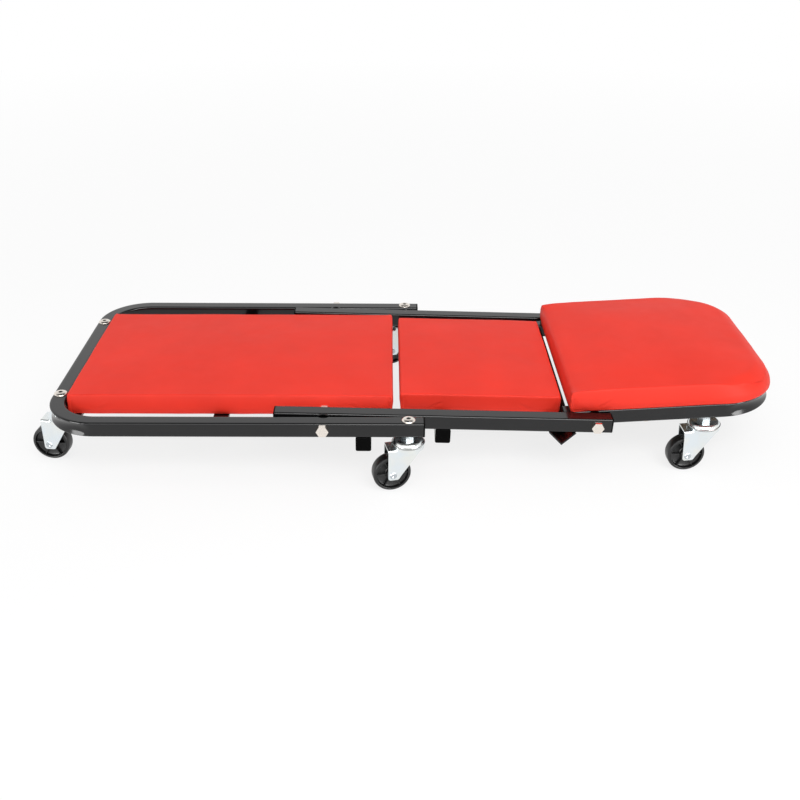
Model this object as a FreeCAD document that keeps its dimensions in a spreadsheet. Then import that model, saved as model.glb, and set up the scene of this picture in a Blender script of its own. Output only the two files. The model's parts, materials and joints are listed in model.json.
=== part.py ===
"""Folding mechanics creeper that turns into a stool.

Three padded sections on a square-tube frame. The base section stands on four swivel casters, the
head section on two, and the middle section is hinged between them. Folded, the middle section
leans back over the base and the head section lies level on top as a seat.

The creeper lies flat along X with its head end at +X. Left is -Y, the left hand of a person who
lies on it face up. Each section is drawn in its own frame, with X along its tubes: the base and
the middle from the fold pivot, the head from the head pivot, each caster from the top of its cup.
"""

import FreeCAD
import Part
import Sketcher
import math
import os

# Driving dimensions, in millimetres and degrees.
DIMENSIONS = [
    # frame tube
    ("tube_side", 20.0, "side of the square frame tube"),
    ("tube_wall", 1.5, "wall of the frame tube"),
    ("tube_corner", 2.5, "outer corner radius of the tube section"),
    ("bend_radius", 78.0, "outer radius of the frame bends in plan"),
    ("cap_flange", 2.0, "thickness of an end cap outside its tube"),
    ("cap_chamfer", 0.7, "chamfer round an end cap"),
    ("cap_depth", 12.0, "length of an end cap inside its tube"),
    ("cap_fit", 0.1, "gap between a cap and the inside of its tube"),
    # base section
    ("base_width", 388.8, "width over the base arms"),
    ("base_length", 489.6, "foot end to arm ends, caps included"),
    ("stop_from_end", 78.2, "arm ends back to the middle of the stop tube"),
    ("bar_from_pivot", 136.4, "fold pivot back to the middle of the centre bar"),
    ("bar_width", 20.0, "width of the flat pad bars"),
    ("bar_thickness", 4.0, "thickness of the flat pad bars"),
    ("foot_caster_spacing", 231.6, "distance between the two foot casters"),
    ("mid_caster_from_end", 20.9, "arm ends back to the mid casters"),
    # middle section
    ("middle_gap", 3.6, "base arm to middle arm, each side"),
    ("middle_tail", 64.4, "middle arm behind the fold pivot, cap included"),
    ("middle_span", 353.1, "fold pivot to head pivot"),
    ("middle_nose", 20.8, "middle arm beyond the head pivot, cap included"),
    ("middle_sag", 1.25, "downward slope of the middle section at rest, degrees"),
    ("angle_from_pivot", 43.5, "head pivot back to the point of the stop angle"),
    ("angle_leg", 25.0, "leg of the stop angle"),
    ("angle_sheet", 2.0, "thickness of the stop angle"),
    # head section
    ("head_gap", 2.8, "middle arm to head arm, each side"),
    ("head_tail", 41.0, "head arm behind the head pivot, cap included"),
    ("head_reach", 248.0, "head pivot to the head end"),
    ("head_caster_from_pivot", 148.0, "head pivot to the head casters"),
    ("rest_gap", 0.25, "gap left where one section rests on another"),
    # pivot hardware
    ("pivot_bolt", 10.0, "diameter of the pivot bolts"),
    ("pivot_hex", 14.0, "across flats of the pivot bolts and nuts"),
    ("pivot_head", 6.4, "height of a pivot bolt head"),
    ("pivot_nut", 8.0, "height of a pivot nut"),
    ("pivot_tip", 1.5, "bolt thread standing out of its nut"),
    ("spacer_width", 22.0, "diameter of the pivot spacers"),
    ("shaft_clearance", 0.05, "radial clearance of a turning fit"),
    ("hole_clearance", 0.2, "radial clearance of a bolt hole"),
    ("side_clearance", 0.3, "end gap beside a turning part"),
    # casters
    ("stem_bolt", 10.0, "diameter of the caster stem bolts"),
    ("stem_head", 17.5, "diameter of the button head"),
    ("stem_head_height", 5.5, "height of the button head"),
    ("stem_head_edge", 1.0, "straight edge of the button head"),
    ("stem_head_top", 9.6, "diameter of the flat on the button head"),
    ("stem_dome", 7.0, "radius of the button head's dome"),
    ("stem_socket", 6.0, "across flats of the hex socket"),
    ("stem_socket_depth", 3.2, "depth of the hex socket"),
    ("stem_hex", 16.0, "across flats of the stem nuts"),
    ("stem_nut", 5.5, "height of the nut above the caster cup"),
    ("stem_lock_nut", 8.0, "height of the lock nut under the fork"),
    ("stem_tip", 1.5, "stem thread standing out of its lock nut"),
    ("head_stack_extra", 2.0, "extra nut height on the head casters"),
    ("caster_body", 72.0, "floor to the top of the caster cup"),
    ("trail", 22.3, "swivel axis to wheel axle"),
    ("cup_diameter", 43.0, "outside of the bearing cup"),
    ("cup_crown", 25.0, "diameter of the flat middle of the cup"),
    ("cup_step", 2.5, "height of the flat middle above the cup's rim"),
    ("cup_slope", 7.5, "radial width of the slope round the flat middle"),
    ("cup_height", 6.0, "height of the bearing cup"),
    ("cup_sheet", 1.5, "thickness of the bearing cup"),
    ("ball_diameter", 5.0, "bearing balls"),
    ("ball_circle", 33.0, "pitch circle of the bearing balls"),
    ("ball_gap", 0.15, "gap above and below a ball"),
    ("race_gap", 0.8, "gap between the cup's rim and the fork's rim"),
    ("fork_disc", 41.6, "diameter of the fork's race plate"),
    ("fork_rim", 1.6, "thickness of the rim round the race plate"),
    ("fork_sheet", 2.2, "thickness of the fork sheet"),
    ("fork_bend", 2.6, "outer bend radius of the fork sheet"),
    ("fork_front", 11.0, "swivel axis to the front of the fork"),
    ("fork_flat", 17.4, "flat part of a fork leg, from its back edge"),
    ("fork_flare", 5.2, "how far the front of a leg stands out from its flat part"),
    ("fork_eye", 6.6, "fork leg behind and below the axle"),
    ("fork_foot", 13.6, "foot of a fork leg, along the wheel"),
    ("fork_foot_round", 3.5, "corner radius at the foot of a leg"),
    ("wheel_diameter", 50.0, "wheel"),
    ("wheel_width", 18.0, "tread width"),
    ("wheel_edge", 2.5, "edge radius of the tread"),
    ("rim_thickness", 5.0, "tread to the wheel's recess"),
    ("web_thickness", 7.0, "web between rim and hub"),
    ("hub_diameter", 16.0, "wheel hub"),
    ("hub_length", 20.0, "length of the wheel hub"),
    ("hub_play", 0.5, "gap between hub and fork leg"),
    ("sleeve_diameter", 8.0, "axle sleeve"),
    ("axle_shank", 6.0, "diameter of the axle rivet"),
    ("axle_head", 9.0, "diameter of the axle rivet's heads"),
    ("axle_head_height", 1.3, "height of the axle rivet's heads"),
    ("axle_head_edge", 0.5, "straight edge of a rivet head"),
    ("axle_dimple", 4.4, "diameter of the dimple in a rivet head"),
    ("axle_dimple_depth", 0.9, "depth of the dimple in a rivet head"),
    ("foot_yaw", -6.0, "how the foot casters are turned, degrees"),
    ("mid_yaw", 13.0, "how the mid casters are turned, degrees"),
    ("head_yaw", 3.0, "how the head casters are turned, degrees"),
    # pads
    ("board_thickness", 9.0, "plywood board of a pad"),
    ("board_inset", 4.0, "cushion wrap beside its board"),
    ("board_fit", 0.2, "gap between a board and its cushion"),
    ("pad_corner", 13.0, "corner radius of a cushion"),
    ("pad_hem", 0.6, "cushion hem above the board's underside"),
    ("pad_hem_inset", 2.0, "how far the hem is drawn in"),
    ("pad_shoulder_inset", 1.5, "how far the shoulder is drawn in"),
    ("pad_crease_inset", 6.0, "how far the top edge is drawn in"),
    ("base_pad_gap", 5.4, "end tube to base cushion"),
    ("base_pad_length", 422.0, "base cushion"),
    ("base_pad_width", 274.0, "base cushion"),
    ("base_pad_height", 25.0, "board underside to the base cushion's top edge"),
    ("base_pad_past_pivot", 87.6, "base cushion beyond the fold pivot"),
    ("middle_pad_gap", 13.5, "base cushion to middle cushion"),
    ("middle_pad_length", 206.5, "middle cushion"),
    ("middle_pad_width", 250.0, "middle cushion"),
    ("middle_pad_height", 27.0, "board underside to the middle cushion's top edge"),
    ("head_pad_gap", 10.0, "middle cushion to head cushion"),
    ("head_pad_overhang", 1.5, "head cushion beyond the frame's end"),
    ("head_pad_width", 300.0, "head cushion"),
    ("head_pad_height", 29.5, "board underside to the head cushion's top edge"),
    ("head_pad_corner", 80.0, "corner radius at the head end"),
    ("pad_crown", 4.0, "rise of a cushion's middle above its top edge"),
    ("screw_shank", 4.5, "pad screws"),
    ("screw_head", 9.0, "pad screw head diameter"),
    ("screw_head_height", 3.0, "pad screw head height"),
    ("screw_bite", 7.0, "screw length in the board"),
    ("base_screw_spacing", 190.0, "base pad screws across a bar"),
    ("middle_screw_spacing", 160.0, "middle pad screws along the cross tube"),
    ("head_screw_from_pivot", 70.0, "head pivot to the head pad's side screws"),
    ("head_screw_spacing", 90.0, "head pad screws along the end tube"),
]

FULL_TURN = 360
QUARTER_TURN = 90
BALLS_PER_CASTER = 8
# Share of the way from the mid casters to the stop angle at which the cross tube stands.
CROSS_SHARE = 0.2267
# Share of a cushion's length and width at each level of its crowned top.
CROWN_SHARES = (0.86, 0.62, 0.32)
# Share of a cushion's height at its widest level and at its shoulder.
BULGE_LEVEL = 0.4
SHOULDER_LEVEL = 0.78
# Levels nearer than this count as one.
SAME_LEVEL = 1e-6

doc = FreeCAD.newDocument("creeper")
dims = doc.addObject("Spreadsheet::Sheet", "dims")
for row, (alias, number, note) in enumerate(DIMENSIONS, start=1):
    dims.set(f"A{row}", alias)
    dims.set(f"B{row}", str(number))
    dims.set(f"C{row}", note)
    dims.setAlias(f"B{row}", alias)
rest = doc.addObject("App::VarSet", "rest")
doc.recompute()

sub_parts = []


class Size:
    """A length or an angle: its number, and the sheet formula that it comes from."""

    def __init__(self, value, formula):
        self.value = value
        self.formula = formula

    def __add__(self, other):
        other = sized(other)
        return Size(self.value + other.value, f"({self.formula} + {other.formula})")

    def __sub__(self, other):
        other = sized(other)
        return Size(self.value - other.value, f"({self.formula} - {other.formula})")

    def __mul__(self, other):
        other = sized(other)
        return Size(self.value * other.value, f"({self.formula} * {other.formula})")

    def __truediv__(self, other):
        other = sized(other)
        return Size(self.value / other.value, f"({self.formula} / {other.formula})")

    def __neg__(self):
        return Size(-self.value, f"(0 - {self.formula})")

    __radd__ = __add__
    __rmul__ = __mul__

    def __rsub__(self, other):
        return sized(other) - self


def sized(number):
    return number if isinstance(number, Size) else Size(float(number), f"({number})")


def dim(alias):
    return Size(float(dims.get(alias)), f"dims.{alias}")


def sine(angle):
    return Size(math.sin(math.radians(angle.value)), f"sin({angle.formula})")


def cosine(angle):
    return Size(math.cos(math.radians(angle.value)), f"cos({angle.formula})")


def tangent(angle):
    return Size(math.tan(math.radians(angle.value)), f"tan({angle.formula})")


def arcsine(ratio):
    return Size(math.degrees(math.asin(ratio.value)), f"(asin({ratio.formula}) / 1 deg)")


def arctangent(ratio):
    return Size(math.degrees(math.atan(ratio.value)), f"(atan({ratio.formula}) / 1 deg)")


def root(number):
    number = sized(number)
    return Size(math.sqrt(number.value), f"sqrt({number.formula})")


def derived(name, size):
    """Keep a worked-out size under its own name."""
    rest.addProperty("App::PropertyFloat", name, "sizes")
    rest.setExpression(name, size.formula)
    return Size(size.value, f"rest.{name}")


def shift(x=0, y=0, z=0, axis=(0, 0, 1), turn=0):
    """Formula of a placement: a turn about an axis, then a move."""
    move = "; ".join(sized(number).formula for number in (x, y, z))
    line = "; ".join(str(number) for number in axis)
    return f"placement(vector({move}); rotation(vector({line}); {sized(turn).formula}))"


def add_frame(name, formula):
    """Keep the rest placement of a section or a caster under its own name."""
    rest.addProperty("App::PropertyPlacement", name, "frames")
    rest.setExpression(name, formula)


def locate(item, frame, move=None):
    formula = f"rest.{frame}"
    if move:
        formula = f"{formula} * {move}"
    item.setExpression("Placement", formula)
    return item


def sub_part(item, label):
    item.Label = label
    sub_parts.append(item)
    return item


def group(label, members):
    """Identical small pieces that share one node."""
    bundle = doc.addObject("Part::Compound", label)
    bundle.Links = members
    return sub_part(bundle, label)


# Sketches


def new_body(name):
    return doc.addObject("PartDesign::Body", name)


def sketch_on(body, plane, offset=0):
    """A sketch on one of the body's own planes, moved along the plane's normal."""
    sketch = body.newObject("Sketcher::SketchObject", f"{body.Name}_sketch")
    support = [item for item in body.Origin.OriginFeatures if item.Role == f"{plane}_Plane"][0]
    sketch.AttachmentSupport = [(support, "")]
    sketch.MapMode = "FlatFace"
    sketch.setExpression("AttachmentOffset.Base.z", sized(offset).formula)
    return sketch


def pin(sketch, geometry, end, point):
    """Hold one end of a line at its worked-out place."""
    for kind, size in zip(("DistanceX", "DistanceY"), point):
        index = sketch.addConstraint(Sketcher.Constraint(kind, -1, 1, geometry, end, size.value))
        sketch.setExpression(f"Constraints[{index}]", size.formula)


def towards(corner, neighbour, length):
    """The point at a length from a corner, along the square edge to its neighbour."""
    run_x = neighbour[0].value - corner[0].value
    run_y = neighbour[1].value - corner[1].value
    if abs(run_x) > abs(run_y):
        return (corner[0] + math.copysign(1, run_x) * length, corner[1])
    return (corner[0], corner[1] + math.copysign(1, run_y) * length)


def flat(point):
    return FreeCAD.Vector(point[0].value, point[1].value, 0)


def add_arc(sketch, start, end, radius):
    """An arc of under a half circle that turns left from start to end."""
    first = flat(start)
    last = flat(end)
    chord = last - first
    height = math.sqrt(max(radius.value ** 2 - (chord.Length / 2) ** 2, 0))
    left = FreeCAD.Vector(-chord.y, chord.x, 0).normalize()
    centre = (first + last) / 2 + left * height
    from_angle = math.atan2(first.y - centre.y, first.x - centre.x)
    to_angle = math.atan2(last.y - centre.y, last.x - centre.x)
    if to_angle < from_angle:
        to_angle += 2 * math.pi
    circle = Part.Circle(centre, FreeCAD.Vector(0, 0, 1), radius.value)
    arc = sketch.addGeometry(Part.ArcOfCircle(circle, from_angle, to_angle), False)
    index = sketch.addConstraint(Sketcher.Constraint("Radius", arc, radius.value))
    sketch.setExpression(f"Constraints[{index}]", radius.formula)
    return arc


def trace(sketch, corners, closed=True, bows=None):
    """Draw an outline that turns left.

    A corner is (x, y), or (x, y, radius) to round a square corner. bows gives, for the number of a
    corner, the radius of an arc that runs from it to the next corner in place of a straight line.
    """
    bows = bows or {}
    points = [(sized(corner[0]), sized(corner[1])) for corner in corners]
    count = len(points)
    arrivals = list(points)
    departures = list(points)
    rounds = {}
    for index, corner in enumerate(corners):
        if len(corner) == 3:
            rounds[index] = sized(corner[2])
            arrivals[index] = towards(points[index], points[index - 1], rounds[index])
            departures[index] = towards(points[index], points[(index + 1) % count], rounds[index])
    runs = []
    for index in range(count if closed else count - 1):
        start = departures[index]
        end = arrivals[(index + 1) % count]
        if index in bows:
            runs.append(add_arc(sketch, start, end, sized(bows[index])))
        else:
            line = sketch.addGeometry(Part.LineSegment(flat(start), flat(end)), False)
            runs.append(line)
        pin(sketch, runs[-1], 1, start)
    for index in range(count):
        arriving = runs[index - 1] if closed or index else None
        leaving = runs[index] if index < len(runs) else None
        if arriving is None:
            continue
        if index in rounds:
            pin(sketch, arriving, 2, arrivals[index])
            arc = add_arc(sketch, arrivals[index], departures[index], rounds[index])
            sketch.addConstraint(Sketcher.Constraint("Coincident", arriving, 2, arc, 1))
            sketch.addConstraint(Sketcher.Constraint("Coincident", arc, 2, leaving, 1))
        elif leaving is None:
            pin(sketch, arriving, 2, arrivals[index])
        else:
            sketch.addConstraint(Sketcher.Constraint("Coincident", arriving, 2, leaving, 1))


def add_circle(sketch, x, y, radius):
    centre = (sized(x), sized(y))
    circle = Part.Circle(flat(centre), FreeCAD.Vector(0, 0, 1), radius.value)
    geometry = sketch.addGeometry(circle, False)
    pin(sketch, geometry, 3, centre)
    index = sketch.addConstraint(Sketcher.Constraint("Radius", geometry, radius.value))
    sketch.setExpression(f"Constraints[{index}]", radius.formula)


def rectangle(left, right, low, high, left_round=None, right_round=None):
    """Corners of an upright rectangle, with its own corner radius at each end."""
    corners = [(left, low), (right, low), (right, high), (left, high)]
    radii = [left_round, right_round, right_round, left_round]
    return [place + (radius,) if radius else place for place, radius in zip(corners, radii)]


def square(side, corner, x=0, y=0):
    half = side / 2
    return rectangle(x - half, x + half, y - half, y + half, corner, corner)


def hexagon(across_flats):
    """Corners of a hexagon with a corner on +X."""
    reach = across_flats / root(3)
    half = across_flats / 2
    return [(reach, 0), (reach / 2, half), (-reach / 2, half),
            (-reach, 0), (-reach / 2, -half), (reach / 2, -half)]


# Features


def pad(body, sketch, length, both_ways=False, backwards=False):
    feature = body.newObject("PartDesign::Pad", f"{body.Name}_pad")
    feature.Profile = sketch
    feature.setExpression("Length", length.formula)
    feature.SideType = "Symmetric" if both_ways else "One side"
    feature.Reversed = backwards
    return feature


def revolve(body, sketch):
    """Turn a profile about the sketch's upright axis."""
    feature = body.newObject("PartDesign::Revolution", f"{body.Name}_turned")
    feature.Profile = sketch
    feature.ReferenceAxis = (sketch, ["V_Axis"])
    feature.Angle = FULL_TURN
    return feature


def pocket(body, sketch, length=None, both_ways=False, backwards=False):
    """Cut a profile away, to a depth or clean through both ways, and see that it cut."""
    doc.recompute()
    before = body.Shape.Volume
    feature = body.newObject("PartDesign::Pocket", f"{body.Name}_cut")
    feature.Profile = sketch
    if length is None:
        feature.Type = "ThroughAll"
        feature.SideType = "Symmetric"
    else:
        feature.setExpression("Length", length.formula)
        feature.SideType = "Symmetric" if both_ways else "One side"
        feature.Reversed = backwards
    doc.recompute()
    if not body.Shape.Volume < before:
        raise ValueError(f"a cut in {body.Name} removes nothing")
    return feature


def drill(body, plane, holes, radius):
    """Round holes clean through the body, square to one of its planes."""
    sketch = sketch_on(body, plane)
    for x, y in holes:
        add_circle(sketch, x, y, radius)
    return pocket(body, sketch)


def rod(name, radius, height):
    item = doc.addObject("Part::Cylinder", name)
    item.setExpression("Radius", radius.formula)
    item.setExpression("Height", height.formula)
    return item


def hex_bar(name, across_flats, height):
    item = doc.addObject("Part::Prism", name)
    item.Polygon = 6
    item.setExpression("Circumradius", (across_flats / root(3)).formula)
    item.setExpression("Height", height.formula)
    return item


def lower(item, depth):
    """Move a primitive down along its own axis."""
    item.setExpression("Placement.Base.z", (-depth).formula)
    return item


def fused(name, pieces):
    item = doc.addObject("Part::MultiFuse", name)
    item.Shapes = pieces
    return item


def cut_from(name, base, tool):
    item = doc.addObject("Part::Cut", name)
    item.Base = base
    item.Tool = tool
    return item


# Worked-out sizes

half_tube = dim("tube_side") / 2
tube_inside = dim("tube_side") - 2 * dim("tube_wall")
inside_corner = dim("tube_corner") - dim("tube_wall")
bend_line = dim("bend_radius") - half_tube
base_side = dim("base_width") / 2
base_line = base_side - half_tube
base_inside = base_side - dim("tube_side")
middle_side = base_inside - dim("middle_gap")
middle_line = middle_side - half_tube
middle_inside = middle_side - dim("tube_side")
head_side = middle_inside - dim("head_gap")
head_line = head_side - half_tube
head_inside = head_side - dim("tube_side")
wheel_radius = dim("wheel_diameter") / 2
axle_drop = dim("caster_body") - wheel_radius

# Places along the base and the middle, from the fold pivot.
foot = dim("base_pad_past_pivot") - dim("base_pad_length") - dim("base_pad_gap") - dim("tube_side")
base_end = foot + dim("base_length")
foot_caster_x = foot + half_tube
mid_caster_x = base_end - dim("mid_caster_from_end")
stop_x = base_end - dim("stop_from_end")
angle_x = dim("middle_span") - dim("angle_from_pivot")
cross_x = derived("cross_x", mid_caster_x + CROSS_SHARE * (angle_x - mid_caster_x))
middle_pad_x = dim("base_pad_past_pivot") + dim("middle_pad_gap")

# The fold pivot sits above the tube's middle, so that the sagging arms just rest on the stop tube.
stop_edge = stop_x + half_tube
slack = half_tube / cosine(dim("middle_sag")) - half_tube
pivot_rise = derived("pivot_rise", dim("rest_gap") + stop_edge * tangent(dim("middle_sag")) + slack)
base_height = derived("base_height", dim("caster_body") + dim("stem_nut") + half_tube)
head_pivot_run = derived("head_pivot_run", dim("middle_span") * cosine(dim("middle_sag")))
head_pivot_height = derived(
    "head_pivot_height", base_height + pivot_rise - dim("middle_span") * sine(dim("middle_sag")))

# The head section slopes up from its pivot until its casters stand on the floor.
head_stack = dim("stem_nut") + dim("head_stack_extra")
axle_run = dim("head_caster_from_pivot") - dim("trail") * cosine(dim("head_yaw"))
axle_fall = half_tube + head_stack + axle_drop
axle_reach = root(axle_run * axle_run + axle_fall * axle_fall)
head_rise = derived(
    "head_rise",
    arcsine((wheel_radius - head_pivot_height) / axle_reach) + arctangent(axle_fall / axle_run))
head_bend = derived("head_bend", head_rise + dim("middle_sag"))

# The origin is under the middle of the creeper's length.
foot_reach = (dim("trail") + wheel_radius) * cosine(dim("foot_yaw")) - foot_caster_x
far_reach = head_pivot_run + dim("head_reach") * cosine(head_rise) + half_tube * sine(head_rise)
pivot_x = derived("pivot_x", (foot_reach - far_reach) / 2)

add_frame("base", shift(pivot_x, 0, base_height))
add_frame("middle", shift(pivot_x, 0, base_height + pivot_rise, (0, 1, 0), dim("middle_sag")))
add_frame("head", shift(pivot_x + head_pivot_run, 0, head_pivot_height, (0, -1, 0), head_rise))

SIDES = {"left": -1, "right": 1}
casters = {}
for side, sign in SIDES.items():
    for end, frame, x, y, stack in (
            ("foot", "base", foot_caster_x, dim("foot_caster_spacing") / 2, dim("stem_nut")),
            ("mid", "base", mid_caster_x, base_line, dim("stem_nut")),
            ("head", "head", dim("head_caster_from_pivot"), head_line, head_stack)):
        place = shift(x, sign * y, -half_tube - stack, (0, 0, 1), dim(f"{end}_yaw"))
        add_frame(f"{end}_{side}", f"rest.{frame} * {place}")
        casters[f"{end}_{side}"] = (frame, stack)
doc.recompute()


# Frame tubes


def tube_section(sketch, x=0, y=0):
    trace(sketch, square(dim("tube_side"), dim("tube_corner"), x, y))
    trace(sketch, square(tube_inside, inside_corner, x, y))


def bent_frame(label, frame, open_end, closed_end, line):
    """A U of square tube: two arms from an open end, joined by bends at the closed end."""
    body = new_body(label)
    path = sketch_on(body, "XY")
    bend = [(closed_end, line, bend_line), (closed_end, -line, bend_line)]
    if open_end.value < closed_end.value:
        bend = [(closed_end, -line, bend_line), (closed_end, line, bend_line)]
    first = (open_end, bend[0][1])
    last = (open_end, bend[1][1])
    trace(path, [first] + bend + [last], closed=False)
    section = sketch_on(body, "YZ", open_end)
    tube_section(section, first[1])
    doc.recompute()
    pipe = body.newObject("PartDesign::AdditivePipe", f"{label}_pipe")
    pipe.Profile = section
    pipe.Spine = (path, [f"Edge{number}" for number in range(1, len(path.Shape.Edges) + 1)])
    locate(body, frame)
    return sub_part(body, label)


def arm_tube(label, frame, start, length, y):
    """A straight tube along X."""
    body = new_body(label)
    section = sketch_on(body, "YZ", start)
    tube_section(section, y)
    pad(body, section, length)
    locate(body, frame)
    return sub_part(body, label)


def cross_tube(label, frame, x, z, length):
    """A straight tube across the section, along Y."""
    body = new_body(label)
    section = sketch_on(body, "XZ")
    tube_section(section, x, z)
    pad(body, section, length, both_ways=True)
    locate(body, frame)
    return sub_part(body, label)


def end_cap(name):
    """A plastic plug: a flange flush with the tube and a spigot inside it."""
    body = new_body(name)
    flange = sketch_on(body, "XY")
    trace(flange, square(dim("tube_side"), dim("tube_corner")))
    plate = pad(body, flange, dim("cap_flange"))
    doc.recompute()
    top = [f"Edge{number}" for number, edge in enumerate(plate.Shape.Edges, start=1)
           if abs(edge.BoundBox.ZMin - plate.Shape.BoundBox.ZMax) < SAME_LEVEL]
    chamfer = body.newObject("PartDesign::Chamfer", f"{name}_chamfer")
    chamfer.Base = (plate, top)
    chamfer.setExpression("Size", "dims.cap_chamfer")
    spigot = sketch_on(body, "XY")
    trace(spigot, square(tube_inside - 2 * dim("cap_fit"), inside_corner))
    pad(body, spigot, dim("cap_depth"), backwards=True)
    return body


def cap_on_arm(name, frame, x, y, facing):
    """A cap in the end of a tube that runs along X, facing +X (1) or -X (-1)."""
    return locate(end_cap(name), frame, shift(x, y, 0, (0, 1, 0), QUARTER_TURN * facing))


# Fasteners


def hex_bolt(name, shank, across_flats, head_height, length):
    """A bolt whose head stands above z = 0 and whose shank hangs below it."""
    head = hex_bar(f"{name}_head", across_flats, head_height)
    stem = lower(rod(f"{name}_shank", shank / 2, length + head_height / 2), length)
    return fused(name, [head, stem])


def hex_nut(name, bore, across_flats, height):
    """A nut from z = 0 downwards."""
    block = lower(hex_bar(f"{name}_hex", across_flats, height), height)
    hole = lower(rod(f"{name}_hole", bore / 2, height), height)
    return cut_from(name, block, hole)


def spacer(name, outside, bore, height):
    ring = lower(rod(f"{name}_disc", outside / 2, height), height)
    hole = lower(rod(f"{name}_hole", bore / 2, height), height)
    return cut_from(name, ring, hole)


def pad_screw(name, length):
    """A pan-head screw that points up from z = 0, with its head below."""
    shank = rod(f"{name}_shank", dim("screw_shank") / 2, length)
    head = lower(rod(f"{name}_head", dim("screw_head") / 2, dim("screw_head_height")),
                 dim("screw_head_height"))
    return fused(name, [shank, head])


def across(x, y, z, sign):
    """Placement of a piece that lies across the creeper and points out on its own side."""
    return shift(x, sign * y, z, (1, 0, 0), -QUARTER_TURN * sign)


def pivot_set(prefix, frame, x, z, outer_face, gap):
    """Bolt, nut and spacer of a fold hinge on each side, with the head outside."""
    bore = dim("pivot_bolt") + 2 * dim("shaft_clearance")
    width = 2 * dim("tube_side") + gap
    bolt_length = width + dim("side_clearance") + dim("pivot_nut") + dim("pivot_tip")
    bolts, nuts, spacers = [], [], []
    nut_face = outer_face - width - dim("side_clearance")
    spacer_face = outer_face - dim("tube_side")
    for side, sign in SIDES.items():
        bolt = hex_bolt(f"{prefix}_bolt_{side}", dim("pivot_bolt"), dim("pivot_hex"),
                        dim("pivot_head"), bolt_length)
        bolts.append(locate(bolt, frame, across(x, outer_face, z, sign)))
        nut = hex_nut(f"{prefix}_nut_{side}", bore, dim("pivot_hex"), dim("pivot_nut"))
        nuts.append(locate(nut, frame, across(x, nut_face, z, sign)))
        ring = spacer(f"{prefix}_spacer_{side}", dim("spacer_width"), bore,
                      gap - dim("side_clearance"))
        spacers.append(locate(ring, frame, across(x, spacer_face, z, sign)))
    group(f"{prefix}_bolts", bolts)
    group(f"{prefix}_nuts", nuts)
    group(f"{prefix}_spacers", spacers)


# Pads


def pad_outline(box, inset=0, share=1):
    """A cushion's outline, drawn in by an inset and shrunk about its middle by a share."""
    left, right, half_width, foot_round, head_round = box
    middle = (left + right) / 2
    half_length = ((right - left) / 2 - inset) * share
    half = (half_width - inset) * share
    return rectangle(middle - half_length, middle + half_length, -half, half,
                     (foot_round - inset) * share, (head_round - inset) * share)


def cushion(label, frame, box, floor, height):
    """A crowned cushion with drawn-in sides, hollow below for its board."""
    body = new_body(label)
    crease = dim("pad_crease_inset")
    levels = [
        (dim("pad_hem"), dim("pad_hem_inset"), 1),
        (BULGE_LEVEL * height, sized(0), 1),
        (SHOULDER_LEVEL * height, dim("pad_shoulder_inset"), 1),
        (height, crease, 1),
    ]
    levels += [(height + (1 - share ** 2) * dim("pad_crown"), crease, share)
               for share in CROWN_SHARES]
    sections = []
    for level, inset, share in levels:
        sketch = sketch_on(body, "XY", floor + level)
        trace(sketch, pad_outline(box, inset, share))
        sections.append(sketch)
    doc.recompute()
    loft = body.newObject("PartDesign::AdditiveLoft", f"{label}_loft")
    loft.Profile = sections[0]
    loft.Sections = sections[1:]
    loft.Ruled = True
    recess = sketch_on(body, "XY", floor)
    trace(recess, pad_outline(box, dim("board_inset") - dim("board_fit")))
    pocket(body, recess, dim("board_thickness") + dim("board_fit"), backwards=True)
    locate(body, frame)
    return sub_part(body, label)


def board(label, frame, box, floor, screws):
    """A plywood board with blind holes for its screws."""
    body = new_body(label)
    sheet = sketch_on(body, "XY", floor)
    trace(sheet, pad_outline(box, dim("board_inset")))
    pad(body, sheet, dim("board_thickness"))
    holes = sketch_on(body, "XY", floor)
    for x, y in screws:
        add_circle(holes, x, y, dim("screw_shank") / 2 + dim("shaft_clearance"))
    pocket(body, holes, dim("screw_bite") + dim("hole_clearance"), backwards=True)
    locate(body, frame)
    return sub_part(body, label)


def clear_heads(body, floor, bolts):
    """Hollows underneath for the button heads that stand up from the frame."""
    hollows = sketch_on(body, "XY", floor)
    for x, y in bolts:
        add_circle(hollows, x, y, dim("stem_head") / 2 + dim("hole_clearance"))
    pocket(body, hollows, dim("stem_head_height") + dim("hole_clearance"), backwards=True)


def screws_under(label, frame, screws, floor, grip):
    """Screws that come up through what carries the pad, of a given grip, into its board."""
    pieces = []
    for number, (x, y) in enumerate(screws, start=1):
        screw = pad_screw(f"{label}_{number}", grip + dim("screw_bite"))
        pieces.append(locate(screw, frame, shift(x, y, floor - grip)))
    group(label, pieces)


# Casters


def stem_bolt(name, top, bottom):
    """A button-head bolt with a hex socket, from its seat down to its tip."""
    body = new_body(name)
    shank = dim("stem_bolt") / 2
    head = dim("stem_head") / 2
    crown = top + dim("stem_head_height")
    profile = sketch_on(body, "XZ")
    trace(profile,
          [(0, bottom), (shank, bottom), (shank, top), (head, top),
           (head, top + dim("stem_head_edge")), (dim("stem_head_top") / 2, crown), (0, crown)],
          bows={4: dim("stem_dome")})
    revolve(body, profile)
    socket = sketch_on(body, "XY", crown)
    trace(socket, hexagon(dim("stem_socket")))
    pocket(body, socket, dim("stem_socket_depth"))
    return body


race_level = dim("cup_step") + dim("cup_sheet") + dim("ball_diameter") + 2 * dim("ball_gap")
fork_underside = race_level + dim("fork_sheet")
stem_bore = dim("stem_bolt") / 2 + dim("shaft_clearance")
fork_inside = dim("hub_length") / 2 + dim("hub_play")
fork_outside = fork_inside + dim("fork_sheet")
axle_hole = dim("axle_shank") / 2 + dim("shaft_clearance")


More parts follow.
